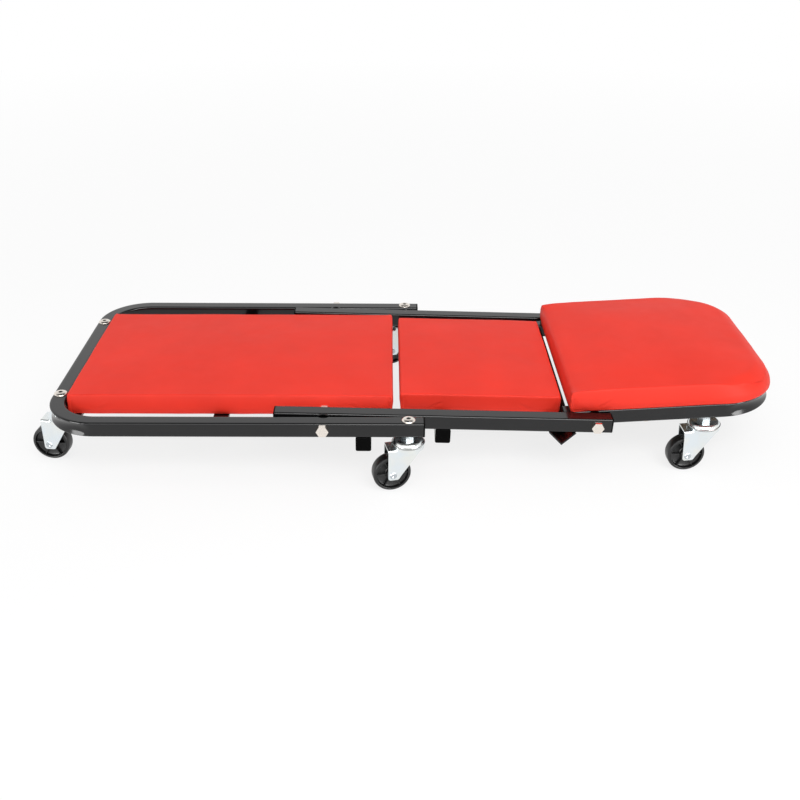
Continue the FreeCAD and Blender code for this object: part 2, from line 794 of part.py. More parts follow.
def bearing_cup(name):
    """The upper half of the swivel bearing: a pressed cup, open below."""
    body = new_body(name)
    sheet = dim("cup_sheet")
    rim = dim("cup_diameter") / 2
    crown = dim("cup_crown") / 2
    shelf = crown + dim("cup_slope")
    bore = dim("stem_bolt") / 2 + dim("hole_clearance")
    step = dim("cup_step")
    profile = sketch_on(body, "XZ")
    trace(profile,
          [(bore, -sheet), (crown - sheet / 2, -sheet), (shelf - sheet / 2, -step - sheet),
           (rim - sheet, -step - sheet), (rim - sheet, -dim("cup_height")),
           (rim, -dim("cup_height")), (rim, -step), (shelf, -step), (crown, 0), (bore, 0)])
    revolve(body, profile)
    return body


def bearing_balls(name, frame):
    level = dim("cup_step") + dim("cup_sheet") + dim("ball_gap") + dim("ball_diameter") / 2
    reach = dim("ball_circle") / 2
    balls = []
    for number in range(BALLS_PER_CASTER):
        angle = sized(FULL_TURN * number / BALLS_PER_CASTER)
        ball = doc.addObject("Part::Sphere", f"{name}_{number}")
        ball.setExpression("Radius", (dim("ball_diameter") / 2).formula)
        balls.append(locate(ball, frame, shift(reach * cosine(angle), reach * sine(angle), -level)))
    return balls


def fork_plan(face, front, flare):
    """Plan of the fork's outside or inside: flat sides, then sides that flare to the front."""
    back = -dim("trail") - dim("fork_eye")
    crease = back + dim("fork_flat")
    side = [(back, -face), (crease, -face), (front, -face - flare)]
    return side + [(x, -y) for x, y in reversed(side)]


def fork(label, frame):
    """A pressed fork: race plate on top, two legs that flare to the front and rake to the axle."""
    body = new_body(label)
    front = dim("fork_front")
    flare = dim("fork_flare")
    foot_level = -axle_drop - dim("fork_eye")
    toe = dim("fork_foot") - dim("trail") - dim("fork_eye")
    plan = sketch_on(body, "XY", foot_level)
    trace(plan, fork_plan(fork_outside, front, flare))
    block = pad(body, plan, -race_level - foot_level)
    doc.recompute()
    box = block.Shape.BoundBox
    bends = [f"Edge{number}" for number, edge in enumerate(block.Shape.Edges, start=1)
             if edge.BoundBox.ZMin > box.ZMax - SAME_LEVEL
             and edge.BoundBox.XLength > SAME_LEVEL]
    fillet = body.newObject("PartDesign::Fillet", f"{label}_bends")
    fillet.Base = (block, bends)
    fillet.setExpression("Radius", "dims.fork_bend")
    inside = sketch_on(body, "XY", foot_level)
    trace(inside, fork_plan(fork_inside, front, flare))
    pocket(body, inside, -fork_underside - foot_level, backwards=True)
    rake = sketch_on(body, "XZ")
    beyond = front + dim("fork_sheet")
    trace(rake, [(toe, foot_level), (beyond, foot_level), (beyond, -fork_underside),
                 (front, -fork_underside)])
    raked = pocket(body, rake)
    feet = [f"Edge{number}" for number, edge in enumerate(raked.Shape.Edges, start=1)
            if edge.BoundBox.ZMax < foot_level.value + SAME_LEVEL
            and edge.BoundBox.XLength < SAME_LEVEL]
    rounding = body.newObject("PartDesign::Fillet", f"{label}_feet")
    rounding.Base = (raked, feet)
    rounding.setExpression("Radius", "dims.fork_foot_round")
    plate = sketch_on(body, "XZ")
    rim = dim("fork_disc") / 2
    rim_top = dim("cup_height") + dim("race_gap")
    trace(plate, [(stem_bore, -fork_underside), (rim, -fork_underside), (rim, -rim_top),
                  (rim - dim("fork_rim"), -rim_top), (rim - dim("fork_rim"), -race_level),
                  (stem_bore, -race_level)])
    revolve(body, plate)
    drill(body, "XY", [(0, 0)], stem_bore)
    drill(body, "XZ", [(-dim("trail"), -axle_drop)], axle_hole)
    locate(body, frame)
    return sub_part(body, label)


def wheel(label, frame):
    """A moulded wheel with a recessed web between rim and hub."""
    body = new_body(label)
    bore = dim("sleeve_diameter") / 2 + dim("shaft_clearance")
    hub = dim("hub_diameter") / 2
    rim = wheel_radius - dim("rim_thickness")
    tread = dim("wheel_width") / 2
    web = dim("web_thickness") / 2
    half_hub = dim("hub_length") / 2
    edge = dim("wheel_edge")
    profile = sketch_on(body, "XY")
    trace(profile, [(bore, -half_hub), (hub, -half_hub), (hub, -web), (rim, -web), (rim, -tread),
                    (wheel_radius, -tread, edge), (wheel_radius, tread, edge), (rim, tread),
                    (rim, web), (hub, web), (hub, half_hub), (bore, half_hub)])
    revolve(body, profile)
    locate(body, frame, shift(-dim("trail"), 0, -axle_drop))
    return sub_part(body, label)


def sleeve(label, frame):
    """The steel tube between the fork legs that the wheel turns on."""
    tube = spacer(label, dim("sleeve_diameter"), 2 * axle_hole, 2 * fork_inside)
    locate(tube, frame,
           shift(-dim("trail"), -fork_inside, -axle_drop, (1, 0, 0), QUARTER_TURN))
    return sub_part(tube, label)


def axle(label, frame):
    """A rivet through both fork legs, with a low dimpled head on each side."""
    body = new_body(label)
    shank = dim("axle_shank") / 2
    head = dim("axle_head") / 2
    shoulder = head - (dim("axle_head_height") - dim("axle_head_edge"))
    edge = fork_outside + dim("axle_head_edge")
    top = fork_outside + dim("axle_head_height")
    dimple = dim("axle_dimple") / 2
    pit = top - dim("axle_dimple_depth")
    near = [(0, -pit), (dimple, -top), (shoulder, -top), (head, -edge), (head, -fork_outside),
            (shank, -fork_outside)]
    profile = sketch_on(body, "XY")
    trace(profile, near + [(x, -y) for x, y in reversed(near)])
    revolve(body, profile)
    locate(body, frame, shift(-dim("trail"), 0, -axle_drop))
    return sub_part(body, label)


def caster_tops(section):
    """Bolts, nuts, cups and balls, which stay with the frame that carries the casters."""
    bolts, nuts, cups, balls = [], [], [], []
    nut_bore = 2 * stem_bore
    lock_level = fork_underside + dim("side_clearance")
    tip = -(lock_level + dim("stem_lock_nut") + dim("stem_tip"))
    for place, (frame, stack) in casters.items():
        if frame != section:
            continue
        name = f"{section}_{place}"
        bolts.append(locate(stem_bolt(f"{name}_stem", stack + dim("tube_side"), tip), place))
        nut = hex_nut(f"{name}_nut", nut_bore, dim("stem_hex"), stack)
        nuts.append(locate(nut, place, shift(0, 0, stack)))
        lock = hex_nut(f"{name}_lock", nut_bore, dim("stem_hex"), dim("stem_lock_nut"))
        nuts.append(locate(lock, place, shift(0, 0, -lock_level)))
        cups.append(locate(bearing_cup(f"{name}_cup"), place))
        balls += bearing_balls(f"{name}_ball", place)
    group(f"{section}_caster_bolts", bolts)
    group(f"{section}_caster_nuts", nuts)
    group(f"{section}_caster_cups", cups)
    group(f"{section}_caster_balls", balls)


# Sections

stem_hole = dim("stem_bolt") / 2 + dim("hole_clearance")
pivot_hole = dim("pivot_bolt") / 2 + dim("shaft_clearance")
screw_hole = dim("screw_shank") / 2 + dim("hole_clearance")
pad_corner = dim("pad_corner")


def pad_bar(label, x, half_length, screws):
    """A flat bar welded under the base frame, from the middle of one tube to the other."""
    body = new_body(label)
    strip = sketch_on(body, "XY", -half_tube - dim("bar_thickness"))
    half = dim("bar_width") / 2
    trace(strip, rectangle(x - half, x + half, -half_length, half_length))
    pad(body, strip, dim("bar_thickness"))
    drill(body, "XY", screws, screw_hole)
    locate(body, "base")
    return sub_part(body, label)


def build_base():
    arm_end = base_end - dim("cap_flange")
    stem_holes = [(x, sign * y) for sign in SIDES.values() for x, y in (
        (foot_caster_x, dim("foot_caster_spacing") / 2), (mid_caster_x, base_line))]
    frame = bent_frame("base_frame", "base", arm_end, foot + half_tube, base_line)
    drill(frame, "XY", stem_holes, stem_hole)
    drill(frame, "XZ", [(0, pivot_rise)], pivot_hole)

    stop_level = -dim("tube_side")
    stop_end = base_side - dim("cap_flange")
    cross_tube("base_stop_tube", "base", stop_x, stop_level, 2 * stop_end)
    caps = []
    for side, sign in SIDES.items():
        caps.append(cap_on_arm(f"base_arm_cap_{side}", "base", arm_end, sign * base_line, 1))
        caps.append(locate(end_cap(f"base_stop_cap_{side}"), "base",
                           across(stop_x, stop_end, stop_level, sign)))
    group("base_end_caps", caps)

    # the end bar lies in the bends, so it is shorter
    end_bar_x = foot + dim("tube_side") + dim("bar_width") / 2
    bend_run = bend_line - (end_bar_x - foot - half_tube)
    end_bar_half = base_line - bend_line + root(bend_line * bend_line - bend_run * bend_run)
    start = foot + dim("tube_side") + dim("base_pad_gap")
    # the end screws stand midway between the board's edge and the bar's
    end_screw_x = (start + dim("board_inset") + end_bar_x + dim("bar_width") / 2) / 2
    center_bar_x = -dim("bar_from_pivot")
    half_spacing = dim("base_screw_spacing") / 2
    screws = []
    for label, bar_x, half_length, screw_x in (
            ("base_center_bar", center_bar_x, base_line, center_bar_x),
            ("base_end_bar", end_bar_x, end_bar_half, end_screw_x)):
        row = [(screw_x, sign * half_spacing) for sign in SIDES.values()]
        pad_bar(label, bar_x, half_length, row)
        screws += row
    box = (start, start + dim("base_pad_length"), dim("base_pad_width") / 2, pad_corner, pad_corner)
    board("base_board", "base", box, -half_tube, screws)
    cushion("base_cushion", "base", box, -half_tube, dim("base_pad_height"))
    screws_under("base_pad_screws", "base", screws, -half_tube, dim("bar_thickness"))
    pivot_set("base_pivot", "base", 0, pivot_rise, base_side, dim("middle_gap"))
    caster_tops("base")


def stop_angle():
    """An angle with its point down, let in along its head side for the head tubes to rest on."""
    body = new_body("middle_stop_angle")
    spread = dim("angle_leg") / root(2)
    bevel = dim("angle_sheet") / root(2)
    x = angle_x
    top = -half_tube
    profile = sketch_on(body, "XZ")
    trace(profile, [(x, top - bevel - spread), (x + spread, top - bevel), (x + spread - bevel, top),
                    (x, top - spread + bevel), (x - spread + bevel, top),
                    (x - spread, top - bevel)])
    pad(body, profile, 2 * middle_side, both_ways=True)
    drop = (dim("angle_from_pivot") - spread / 2) * tangent(head_bend)
    seat = drop + half_tube / cosine(head_bend) - half_tube + dim("rest_gap")
    let_in = sketch_on(body, "XZ")
    trace(let_in, rectangle(x, x + spread + bevel, top - seat, top + bevel))
    pocket(body, let_in, 2 * (middle_inside - dim("head_gap") / 2), both_ways=True)
    locate(body, "middle")
    return sub_part(body, "middle_stop_angle")


def build_middle():
    start = dim("cap_flange") - dim("middle_tail")
    length = (dim("middle_tail") + dim("middle_span") + dim("middle_nose")
              - 2 * dim("cap_flange"))
    cross_level = -dim("tube_side")
    cross_end = middle_side - dim("cap_flange")
    caps = []
    for side, sign in SIDES.items():
        y = sign * middle_line
        arm = arm_tube(f"middle_arm_{side}", "middle", start, length, y)
        drill(arm, "XZ", [(0, 0), (dim("middle_span"), 0)], pivot_hole)
        caps.append(cap_on_arm(f"middle_tail_cap_{side}", "middle", start, y, -1))
        caps.append(cap_on_arm(f"middle_nose_cap_{side}", "middle", start + length, y, 1))
        caps.append(locate(end_cap(f"middle_cross_cap_{side}"), "middle",
                           across(cross_x, cross_end, cross_level, sign)))
    group("middle_end_caps", caps)
    screws = [(cross_x, sign * dim("middle_screw_spacing") / 2) for sign in SIDES.values()]
    tube = cross_tube("middle_cross_tube", "middle", cross_x, cross_level, 2 * cross_end)
    drill(tube, "XY", screws, screw_hole)
    stop_angle()
    box = (middle_pad_x, middle_pad_x + dim("middle_pad_length"), dim("middle_pad_width") / 2,
           pad_corner, pad_corner)
    board("middle_board", "middle", box, -half_tube, screws)
    cushion("middle_cushion", "middle", box, -half_tube, dim("middle_pad_height"))
    screws_under("middle_pad_screws", "middle", screws, -half_tube, dim("tube_side"))
    pivot_set("head_pivot", "middle", dim("middle_span"), 0, middle_side, dim("head_gap"))


def build_head():
    tail = dim("cap_flange") - dim("head_tail")
    end_line = dim("head_reach") - half_tube
    bolts = [(dim("head_caster_from_pivot"), sign * head_line) for sign in SIDES.values()]
    screws = [(dim("head_screw_from_pivot"), sign * head_line) for sign in SIDES.values()]
    screws += [(end_line, sign * dim("head_screw_spacing") / 2) for sign in SIDES.values()]
    frame = bent_frame("head_frame", "head", tail, end_line, head_line)
    drill(frame, "XY", bolts, stem_hole)
    drill(frame, "XY", screws, screw_hole)
    drill(frame, "XZ", [(0, 0)], pivot_hole)
    group("head_end_caps", [cap_on_arm(f"head_tail_cap_{side}", "head", tail, sign * head_line, -1)
                            for side, sign in SIDES.items()])
    # the middle cushion reaches towards the head pivot, and the head cushion starts after it
    head_pad_x = (middle_pad_x + dim("middle_pad_length") + dim("head_pad_gap")
                  - dim("middle_span"))
    box = (head_pad_x, dim("head_reach") + dim("head_pad_overhang"),
           dim("head_pad_width") / 2, pad_corner, dim("head_pad_corner"))
    sheet = board("head_board", "head", box, half_tube, screws)
    padding = cushion("head_cushion", "head", box, half_tube, dim("head_pad_height"))
    for piece in (sheet, padding):
        clear_heads(piece, half_tube, bolts)
    screws_under("head_pad_screws", "head", screws, half_tube, dim("tube_side"))
    caster_tops("head")


def build_casters():
    for place in casters:
        fork(f"fork_{place}", place)
        sleeve(f"sleeve_{place}", place)
        axle(f"axle_{place}", place)
        wheel(f"wheel_{place}", place)


def check_model():
    for item in doc.Objects:
        if "Invalid" in item.State or "Error" in item.State:
            raise ValueError(f"{item.Label} failed: {item.State}")
    for item in sub_parts:
        if item.Shape.isNull() or not item.Shape.isValid():
            raise ValueError(f"{item.Label} has no valid shape")


def write_parts():
    os.makedirs("parts", exist_ok=True)
    for item in sub_parts:
        item.Shape.exportStep(f"parts/{item.Label}.step")


build_base()
build_middle()
build_head()
build_casters()
doc.recompute()
check_model()
write_parts()
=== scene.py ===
"""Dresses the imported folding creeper: padded vinyl sections, painted tubes, casters and a studio.

Lengths are in metres. Each section has a frame of its own, with X along its tubes: the base and the
middle from the fold pivot, the head from the head pivot. The near side is -Y.
"""

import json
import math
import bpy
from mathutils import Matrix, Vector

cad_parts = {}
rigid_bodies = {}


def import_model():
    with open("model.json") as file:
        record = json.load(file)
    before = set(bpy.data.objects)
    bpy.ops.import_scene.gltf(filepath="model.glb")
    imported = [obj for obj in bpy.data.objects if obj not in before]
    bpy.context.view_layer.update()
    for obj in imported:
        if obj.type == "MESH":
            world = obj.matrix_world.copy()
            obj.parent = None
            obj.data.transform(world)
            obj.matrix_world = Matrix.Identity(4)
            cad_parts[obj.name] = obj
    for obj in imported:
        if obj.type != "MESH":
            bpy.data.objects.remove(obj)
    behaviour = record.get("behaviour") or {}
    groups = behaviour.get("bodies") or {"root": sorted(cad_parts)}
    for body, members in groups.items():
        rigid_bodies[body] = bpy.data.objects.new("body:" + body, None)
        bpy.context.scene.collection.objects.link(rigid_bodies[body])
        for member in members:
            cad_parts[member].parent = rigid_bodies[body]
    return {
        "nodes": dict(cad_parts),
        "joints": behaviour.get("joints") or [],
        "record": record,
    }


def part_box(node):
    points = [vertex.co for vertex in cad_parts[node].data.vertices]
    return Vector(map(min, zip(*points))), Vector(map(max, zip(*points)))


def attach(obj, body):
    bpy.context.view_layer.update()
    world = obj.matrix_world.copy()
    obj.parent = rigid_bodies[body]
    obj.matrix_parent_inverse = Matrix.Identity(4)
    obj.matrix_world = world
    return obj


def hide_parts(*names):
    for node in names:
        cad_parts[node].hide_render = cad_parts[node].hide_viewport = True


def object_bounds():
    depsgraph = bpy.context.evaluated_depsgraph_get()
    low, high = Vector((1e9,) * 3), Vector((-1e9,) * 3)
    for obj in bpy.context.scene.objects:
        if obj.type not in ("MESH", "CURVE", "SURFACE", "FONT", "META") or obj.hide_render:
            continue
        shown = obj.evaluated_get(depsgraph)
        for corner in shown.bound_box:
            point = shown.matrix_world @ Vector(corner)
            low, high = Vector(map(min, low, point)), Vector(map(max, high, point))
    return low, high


bl_info = {
    "name": "Folding mechanics creeper",
    "version": (1, 0, 0),
    "blender": (4, 5, 0),
    "location": "View3D > Sidebar > Creeper",
    "description": "Dresses the packed creeper with vinyl pads, paint, casters and a studio",
    "category": "Object",
}

import bmesh
import bpy
from bpy.props import FloatProperty, FloatVectorProperty, IntProperty, PointerProperty
from mathutils import Matrix, Vector, noise

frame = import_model()
cad_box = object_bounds()

MM = 0.001
SECTIONS = ("base", "middle", "head")
PLACES = [f"{end}_{side}" for end in ("foot", "mid", "head") for side in ("left", "right")]

# Below this share of a pad's height a cover belongs to its hem.
HEM_LEVEL = 0.05
# Levels down a cover's side: share of the height, of the top edge's inset and of the hem's inset.
SIDE_LEVELS = ((0.8, 0.55, 0), (0.6, 0.25, 0), (0.4, 0.05, 0), (0.2, 0, 0.2), (0.02, 0, 1))
CLOTH_STEPS = 20
RIPPLE_LONG = 55 * MM
RIPPLE_SHORT = 16 * MM
PLEAT_TOP = 5 * MM
PLEAT_END = 11 * MM
# A wrinkle's middle, along a side from its corner and up from the hem, and its slope and size.
WRINKLE_ALONG = 48 * MM
WRINKLE_UP = 12 * MM
WRINKLE_COSINE = 0.87
WRINKLE_SINE = 0.49
WRINKLE_WIDTH = 2.2 * MM
WRINKLE_FULL = 5 * MM
WRINKLE_END = 12 * MM

SHARP_ANGLE = math.radians(32)
FLAT_CUTS = 7
BEND_STEPS = 24

# Half of a wheel's section as radius and half width, for a wheel of WHEEL_RADIUS millimetres.
WHEEL_RADIUS = 25
WHEEL_SECTION = ((4.1, 10), (7.4, 10), (8, 9.5), (8.3, 4.4), (9.2, 3.6), (18.6, 3.4), (20, 4.2),
                 (20.5, 8.2), (20.8, 8.9), (21.2, 9.1), (21.6, 8.9), (21.8, 8.3), (22.4, 8.2),
                 (23.8, 7.8), (24.6, 6.9), (25, 5.4))
RIB_MIDDLE = 14
RIB_LEVEL = 5.2
RIB_RUN = 13
RIB_HEIGHT = 4.4
RIB_BEVEL = 0.4
STEM_RADIUS = 5
TIP_CHAMFER = 0.8
SOCKET_CUTS = 7
# A bearing cup's section as radius and height in millimetres.
CUP_SECTION = ((5.1, 0), (15, 0), (16.6, -0.2), (18, -0.8), (19.1, -1.8), (19.9, -3.2),
               (20.4, -4.3), (20.9, -4.6), (21.4, -4.8), (21.5, -5.2), (21.5, -5.7), (21.2, -6),
               (20.3, -6), (19.3, -4.8), (18.6, -3.2), (17.6, -2), (16.2, -1.5), (5.1, -1.5))

# The floor's look turns to plain white between these distances, in metres.
FADE_FROM = 0.9
FADE_TO = 3
# Softboxes: setting that holds the power, stand, width and height.
SOFTBOXES = (("front", (0.5, -1.5, 1.6), 1.6, 0.7), ("strip", (0, -1.5, 1.75), 2.6, 1.2),
             ("left", (-1.95, -1.65, 0.45), 1.1, 0.9), ("right", (1.75, -1.8, 0.45), 1.1, 0.9))
SUN_SPREAD = math.radians(70)
SUN_TURN = (math.radians(30), 0, math.radians(-12))
# The photo's camera.
CAMERA_PLACE = (-0.02057, -1.27674, 0.72163)
CAMERA_PITCH = math.radians(28.562)
CAMERA_YAW = math.radians(0.849)
CAMERA_ROLL = math.radians(0.572)


def linear(code):
    """Turn an sRGB hex colour into linear red, green and blue."""
    channels = [int(code[index:index + 2], 16) / 255 for index in (1, 3, 5)]
    return tuple(value / 12.92 if value <= 0.04045 else ((value + 0.055) / 1.055) ** 2.4
                 for value in channels)


def colour(name, description, code):
    return FloatVectorProperty(name=name, description=description, subtype="COLOR", size=3,
                               min=0, max=1, default=linear(code))


def length(name, description, millimetres):
    return FloatProperty(name=name, description=description, unit="LENGTH", subtype="DISTANCE",
                         min=0, precision=5, default=millimetres * MM)


def lengths(name, description, *millimetres):
    """One length each for the base, middle and head."""
    return FloatVectorProperty(name=name, description=description, unit="LENGTH", size=3,
                               precision=5, default=[value * MM for value in millimetres])


# Settings


class CushionSettings(bpy.types.PropertyGroup):
    vinyl: colour("Vinyl", "Colour of the pad covers", "#e73627")
    cell: length("Cell", "Mesh cell of a cover before it is refined", 7)
    corner: length("Corner", "Plan radius of a pad's square corners", 2.5)
    foot_swell: lengths("Foot swell", "How far a pad's foot end swells past its CAD block",
                        4, 3.5, -2)
    head_swell: lengths("Head swell", "How far a pad's head end swells past its CAD block",
                        2.5, 5.5, 0.5)
    head_corner: length("Head corner", "Plan radius at the head end", 80)
    edge_inset: lengths("Edge inset", "How far the top edge stands in along the sides", 5, 0.6, 4)
    end_inset: lengths("End inset", "How far the top edge stands in along the ends", 1, 0.6, 4)
    edge_drop: lengths("Edge drop", "How far the top edge lies below the top of the CAD pad",
                       1.4, 4, 4.5)
    hem_inset: lengths("Hem inset", "How far the hem is drawn in", 3, 2, 2.2)
    wrap: length("Wrap", "Cover and padding beside the board", 2.4)
    crease: lengths("Crease", "Radius of the top edge", 2.4, 2.4, 9)
    head_roll: length("Head roll", "How far the top edge falls away at the head end", 10)
    head_draw: length("Head draw", "How far the top edge is drawn in at the head end", 3)
    foot_roll: length("Foot roll", "How far the head pad rolls down at its foot end", 6)
    foot_run: length("Foot run", "How far in the roll at the foot end begins", 22)
    crown: lengths("Crown", "Rise of the middle of a pad over its top edge", 3.5, 3.5, 8)
    pressure: FloatProperty(name="Pressure", description="Push of the foam on the cover", default=4)
    evening: IntProperty(name="Evening", description="Rounds that even out the swell", min=0,
                         default=30)
    gather: length("Gather", "How far the cover is drawn in below its corners", 0.9)
    gather_run: length("Gather run", "How far a gather runs along a side", 34)
    pleat: length("Pleat", "Height of the fold beside a corner", 1)
    ripple: length("Ripple", "Unevenness of the covers", 0.4)
    wrinkle: length("Wrinkle", "Depth of a wrinkle beside a corner", 0.9)


class FrameSettings(bpy.types.PropertyGroup):
    paint: colour("Paint", "Powder coat on the tubes", "#09090a")
    cap: colour("Cap", "Plastic of the end caps", "#060606")
    # The plywood colour is darker than bare birch: painted shade for the boards under the pads.
    plywood: colour("Plywood", "Face of the pad boards", "#5f4d3b")
    bend: lengths("Bend", "Outer plan radius of the tube bends", 70, 0, 78)
    corner: length("Tube corner", "Outer corner radius of the tube section", 2.5)
    dent: length("Dent", "How far the outer wall has sunk in at a bend", 3)


class CasterSettings(bpy.types.PropertyGroup):
    zinc: colour("Zinc", "Plating of forks and bearing cups", "#e9eced")
    nickel: colour("Nickel", "Plating of the bolts", "#f0e8df")
    # The nut colour is darker than the bright zinc partly as painted shade on the nuts above the
    # cups. Its blue tint is the passivation's own.
    nut: colour("Nut", "Blue passivated zinc of nuts and rivets", "#c3c9cd")
    oxide: colour("Oxide", "Black oxide of the pivot spacers", "#141516")
    head: length("Bolt head", "Diameter of a stem bolt's head", 17.5)
    head_height: length("Head height", "Height of a stem bolt's head", 3)
    socket: length("Socket", "Across the corners of the hex socket", 5.8)
    nylon: colour("Nylon", "Wheels", "#0a0a0b")
    rib: length("Rib", "Thickness of a wheel rib", 1.8)
    ribs: IntProperty(name="Ribs", description="Ribs on each side of a wheel", min=2, default=6)


class StageSettings(bpy.types.PropertyGroup):
    floor: colour("Floor", "Studio floor", "#f7f7f7")
    reach: length("Reach", "Half the side of the floor", 9000)
    clear: FloatProperty(name="Clear floor", description="Share of plain white in the floor's look",
                         subtype="FACTOR", min=0, max=1, default=0.8)
    sky: FloatProperty(name="Sky", description="Even light from all round", default=0.5)
    ceiling: FloatProperty(name="Ceiling", description="How bright the ceiling looks in gloss",
                           subtype="FACTOR", min=0, max=1, default=0.08)
    sun: FloatProperty(name="Overhead", description="Soft overhead light", default=0.95)
    front: FloatProperty(name="Front", description="Softbox above the camera", unit="POWER",
                         default=22)
    strip: FloatProperty(name="Strip", description="Broad softbox that only shows in gloss",
                         unit="POWER", default=26)
    left: FloatProperty(name="Left", description="Low softbox on the left that only shows in gloss",
                        unit="POWER", default=24)
    right: FloatProperty(name="Right", unit="POWER", default=30,
                         description="Low softbox on the right that only shows in gloss")
    lens: FloatProperty(name="Lens", description="Focal length on a 36 mm square sensor",
                        unit="CAMERA", default=44.66)


# Materials


def add(tree, kind, inputs=None, **settings):
    """Add a node with its settings, and set or link its inputs."""
    made = tree.nodes.new(kind)
    for name, value in settings.items():
        setattr(made, name, value)
    for name, value in (inputs or {}).items():
        if isinstance(value, bpy.types.NodeSocket):
            tree.links.new(value, made.inputs[name])
        else:
            made.inputs[name].default_value = value
    return made


def new_material(name, **values):
    """A material with one surface shader, whose constant values are set on its own sockets."""
    material = bpy.data.materials.new(name)
    material.use_nodes = True
    tree = material.node_tree
    shader = tree.nodes["Principled BSDF"]
    for socket, value in values.items():
        shader.inputs[socket.replace("_", " ")].default_value = value
    return material, tree, shader


def per_metre(millimetres):
    """Pattern scale for features of a real size."""
    return 1 / (millimetres * MM)


def opaque(rgb, share=1):
    return tuple(value * share for value in rgb) + (1,)


def own_place(tree):
    """Where a point lies on its piece, in metres."""
    return add(tree, "ShaderNodeTexCoord").outputs["Object"]


def mottle(tree, millimetres, **values):
    """A noise whose features have a real size."""
    noisy = add(tree, "ShaderNodeTexNoise",
                {"Vector": own_place(tree), "Scale": per_metre(millimetres), **values})
    return noisy.outputs["Fac"]


def tinted(tree, shader, pattern, dark, light, low=0, high=1):
    """Run the base colour from dark to light as a pattern goes from low to high."""
    tint = add(tree, "ShaderNodeValToRGB", {"Fac": pattern})
    stops = tint.color_ramp.elements
    stops[0].position = low
    stops[0].color = dark
    stops[1].position = high
    stops[1].color = light
    tree.links.new(tint.outputs["Color"], shader.inputs["Base Color"])


def roughened(tree, shader, pattern, least, most, low=0, high=1):
    """Run the roughness from least to most as a pattern goes from low to high."""
    rough = add(tree, "ShaderNodeMapRange", {"Value": pattern, "From Min": low, "From Max": high,
                                             "To Min": least, "To Max": most})
    tree.links.new(rough.outputs["Result"], shader.inputs["Roughness"])


def bumped(tree, shader, pattern, strength, millimetres):
    """Raise the surface by a pattern."""
    bump = add(tree, "ShaderNodeBump", {"Height": pattern, "Strength": strength,
                                        "Distance": millimetres * MM})
    tree.links.new(bump.outputs["Normal"], shader.inputs["Normal"])


def calendered_vinyl(rgb):
    # Calendered PVC over foam: an even strong colour, a broad soft gloss, and a fine pebble grain
    # that only shows close up.
    material, tree, shader = new_material("calendered_vinyl", IOR=1.52, Specular_IOR_Level=0.14)
    blotch = mottle(tree, 70, Detail=3)
    tinted(tree, shader, blotch, opaque(rgb, 0.95), opaque(rgb, 1.04), 0.3, 0.7)
    roughened(tree, shader, mottle(tree, 18, Detail=4), 0.44, 0.54)
    grain = add(tree, "ShaderNodeTexVoronoi",
                {"Vector": own_place(tree), "Scale": per_metre(1.1)}, feature="SMOOTH_F1")
    bumped(tree, shader, grain.outputs["Distance"], 0.35, 0.08)
    return material


def powder_coat(rgb):
    # Gloss black powder coat: deep black with a sharp skin, softened by a faint orange peel and by
    # handling marks that dull it in places. Tubes and bars share it.
    if "powder_coat" in bpy.data.materials:
        return bpy.data.materials["powder_coat"]
    material, tree, shader = new_material("powder_coat", IOR=1.47)
    wear = mottle(tree, 35, Detail=6, Roughness=0.65)
    tinted(tree, shader, wear, opaque(rgb), opaque(rgb, 1.8), 0.35, 0.75)
    roughened(tree, shader, wear, 0.1, 0.22, 0.3, 0.75)
    bumped(tree, shader, mottle(tree, 1.8, Detail=1), 0.2, 0.06)
    return material


def bright_zinc(rgb):
    # Bright zinc plate on pressed sheet: a pale mirror that the rolled sheet under it blurs, with
    # a slight blue and straw bloom from the passivation.
    material, tree, shader = new_material("bright_zinc", Metallic=1)
    bloom = mottle(tree, 22, Detail=2)
    blue = (rgb[0] * 0.93, rgb[1] * 0.97, rgb[2], 1)
    straw = (rgb[0], rgb[1] * 0.99, rgb[2] * 0.95, 1)
    tinted(tree, shader, bloom, blue, straw, 0.35, 0.65)
    roughened(tree, shader, mottle(tree, 4, Detail=8, Roughness=0.7), 0.12, 0.34)
    bumped(tree, shader, bloom, 0.15, 0.5)
    return material


def barrel_finish(name, rgb, roughest):
    """Steel finished in a turning barrel, which leaves small marks all over."""
    material, tree, shader = new_material(name, Metallic=1)
    marks = mottle(tree, 1.5, Detail=6)
    tinted(tree, shader, marks, opaque(rgb, 0.85), opaque(rgb), 0.3, 0.7)
    roughened(tree, shader, marks, 0.14, roughest)
    return material


def nickel_plate(rgb):
    # Nickel plate on the bolts: a warm, nearly mirror-bright silver.
    return barrel_finish("nickel_plate", rgb, 0.3)


def passivated_zinc(rgb):
    # Blue passivated zinc on nuts and rivets: a cooler, duller silver than nickel. Its darker tone
    # is partly painted shade, for the nuts that sit in shade above the bearing cups, and the rivets
    # share it.
    return barrel_finish("passivated_zinc", rgb, 0.36)


def black_oxide(rgb):
    # Black oxide on the pivot spacers: a dark metal with an oily, uneven sheen.
    return barrel_finish("black_oxide", rgb, 0.5)


def moulded_nylon(rgb):
    # Moulded black nylon: satin black that scatters light off a fine texture, with paler specks
    # all over as if from grit.
    material, tree, shader = new_material("moulded_nylon", IOR=1.53)
    grit = mottle(tree, 2.5, Detail=8, Roughness=0.7)
    tinted(tree, shader, grit, opaque(rgb), opaque(rgb, 2.5), 0.45, 0.85)
    roughened(tree, shader, grit, 0.26, 0.48)
    bumped(tree, shader, grit, 0.2, 0.1)
    return material


def moulded_polythene(rgb):
    # Moulded polythene: a waxy, nearly matt black with a fine spark-eroded texture.
    material, tree, shader = new_material("moulded_polythene", IOR=1.5, Specular_IOR_Level=0.03)
    spark = mottle(tree, 0.8, Detail=3)
    tinted(tree, shader, spark, opaque(rgb, 0.8), opaque(rgb, 1.3))
    roughened(tree, shader, spark, 0.42, 0.56)
    bumped(tree, shader, spark, 0.25, 0.05)
    return material


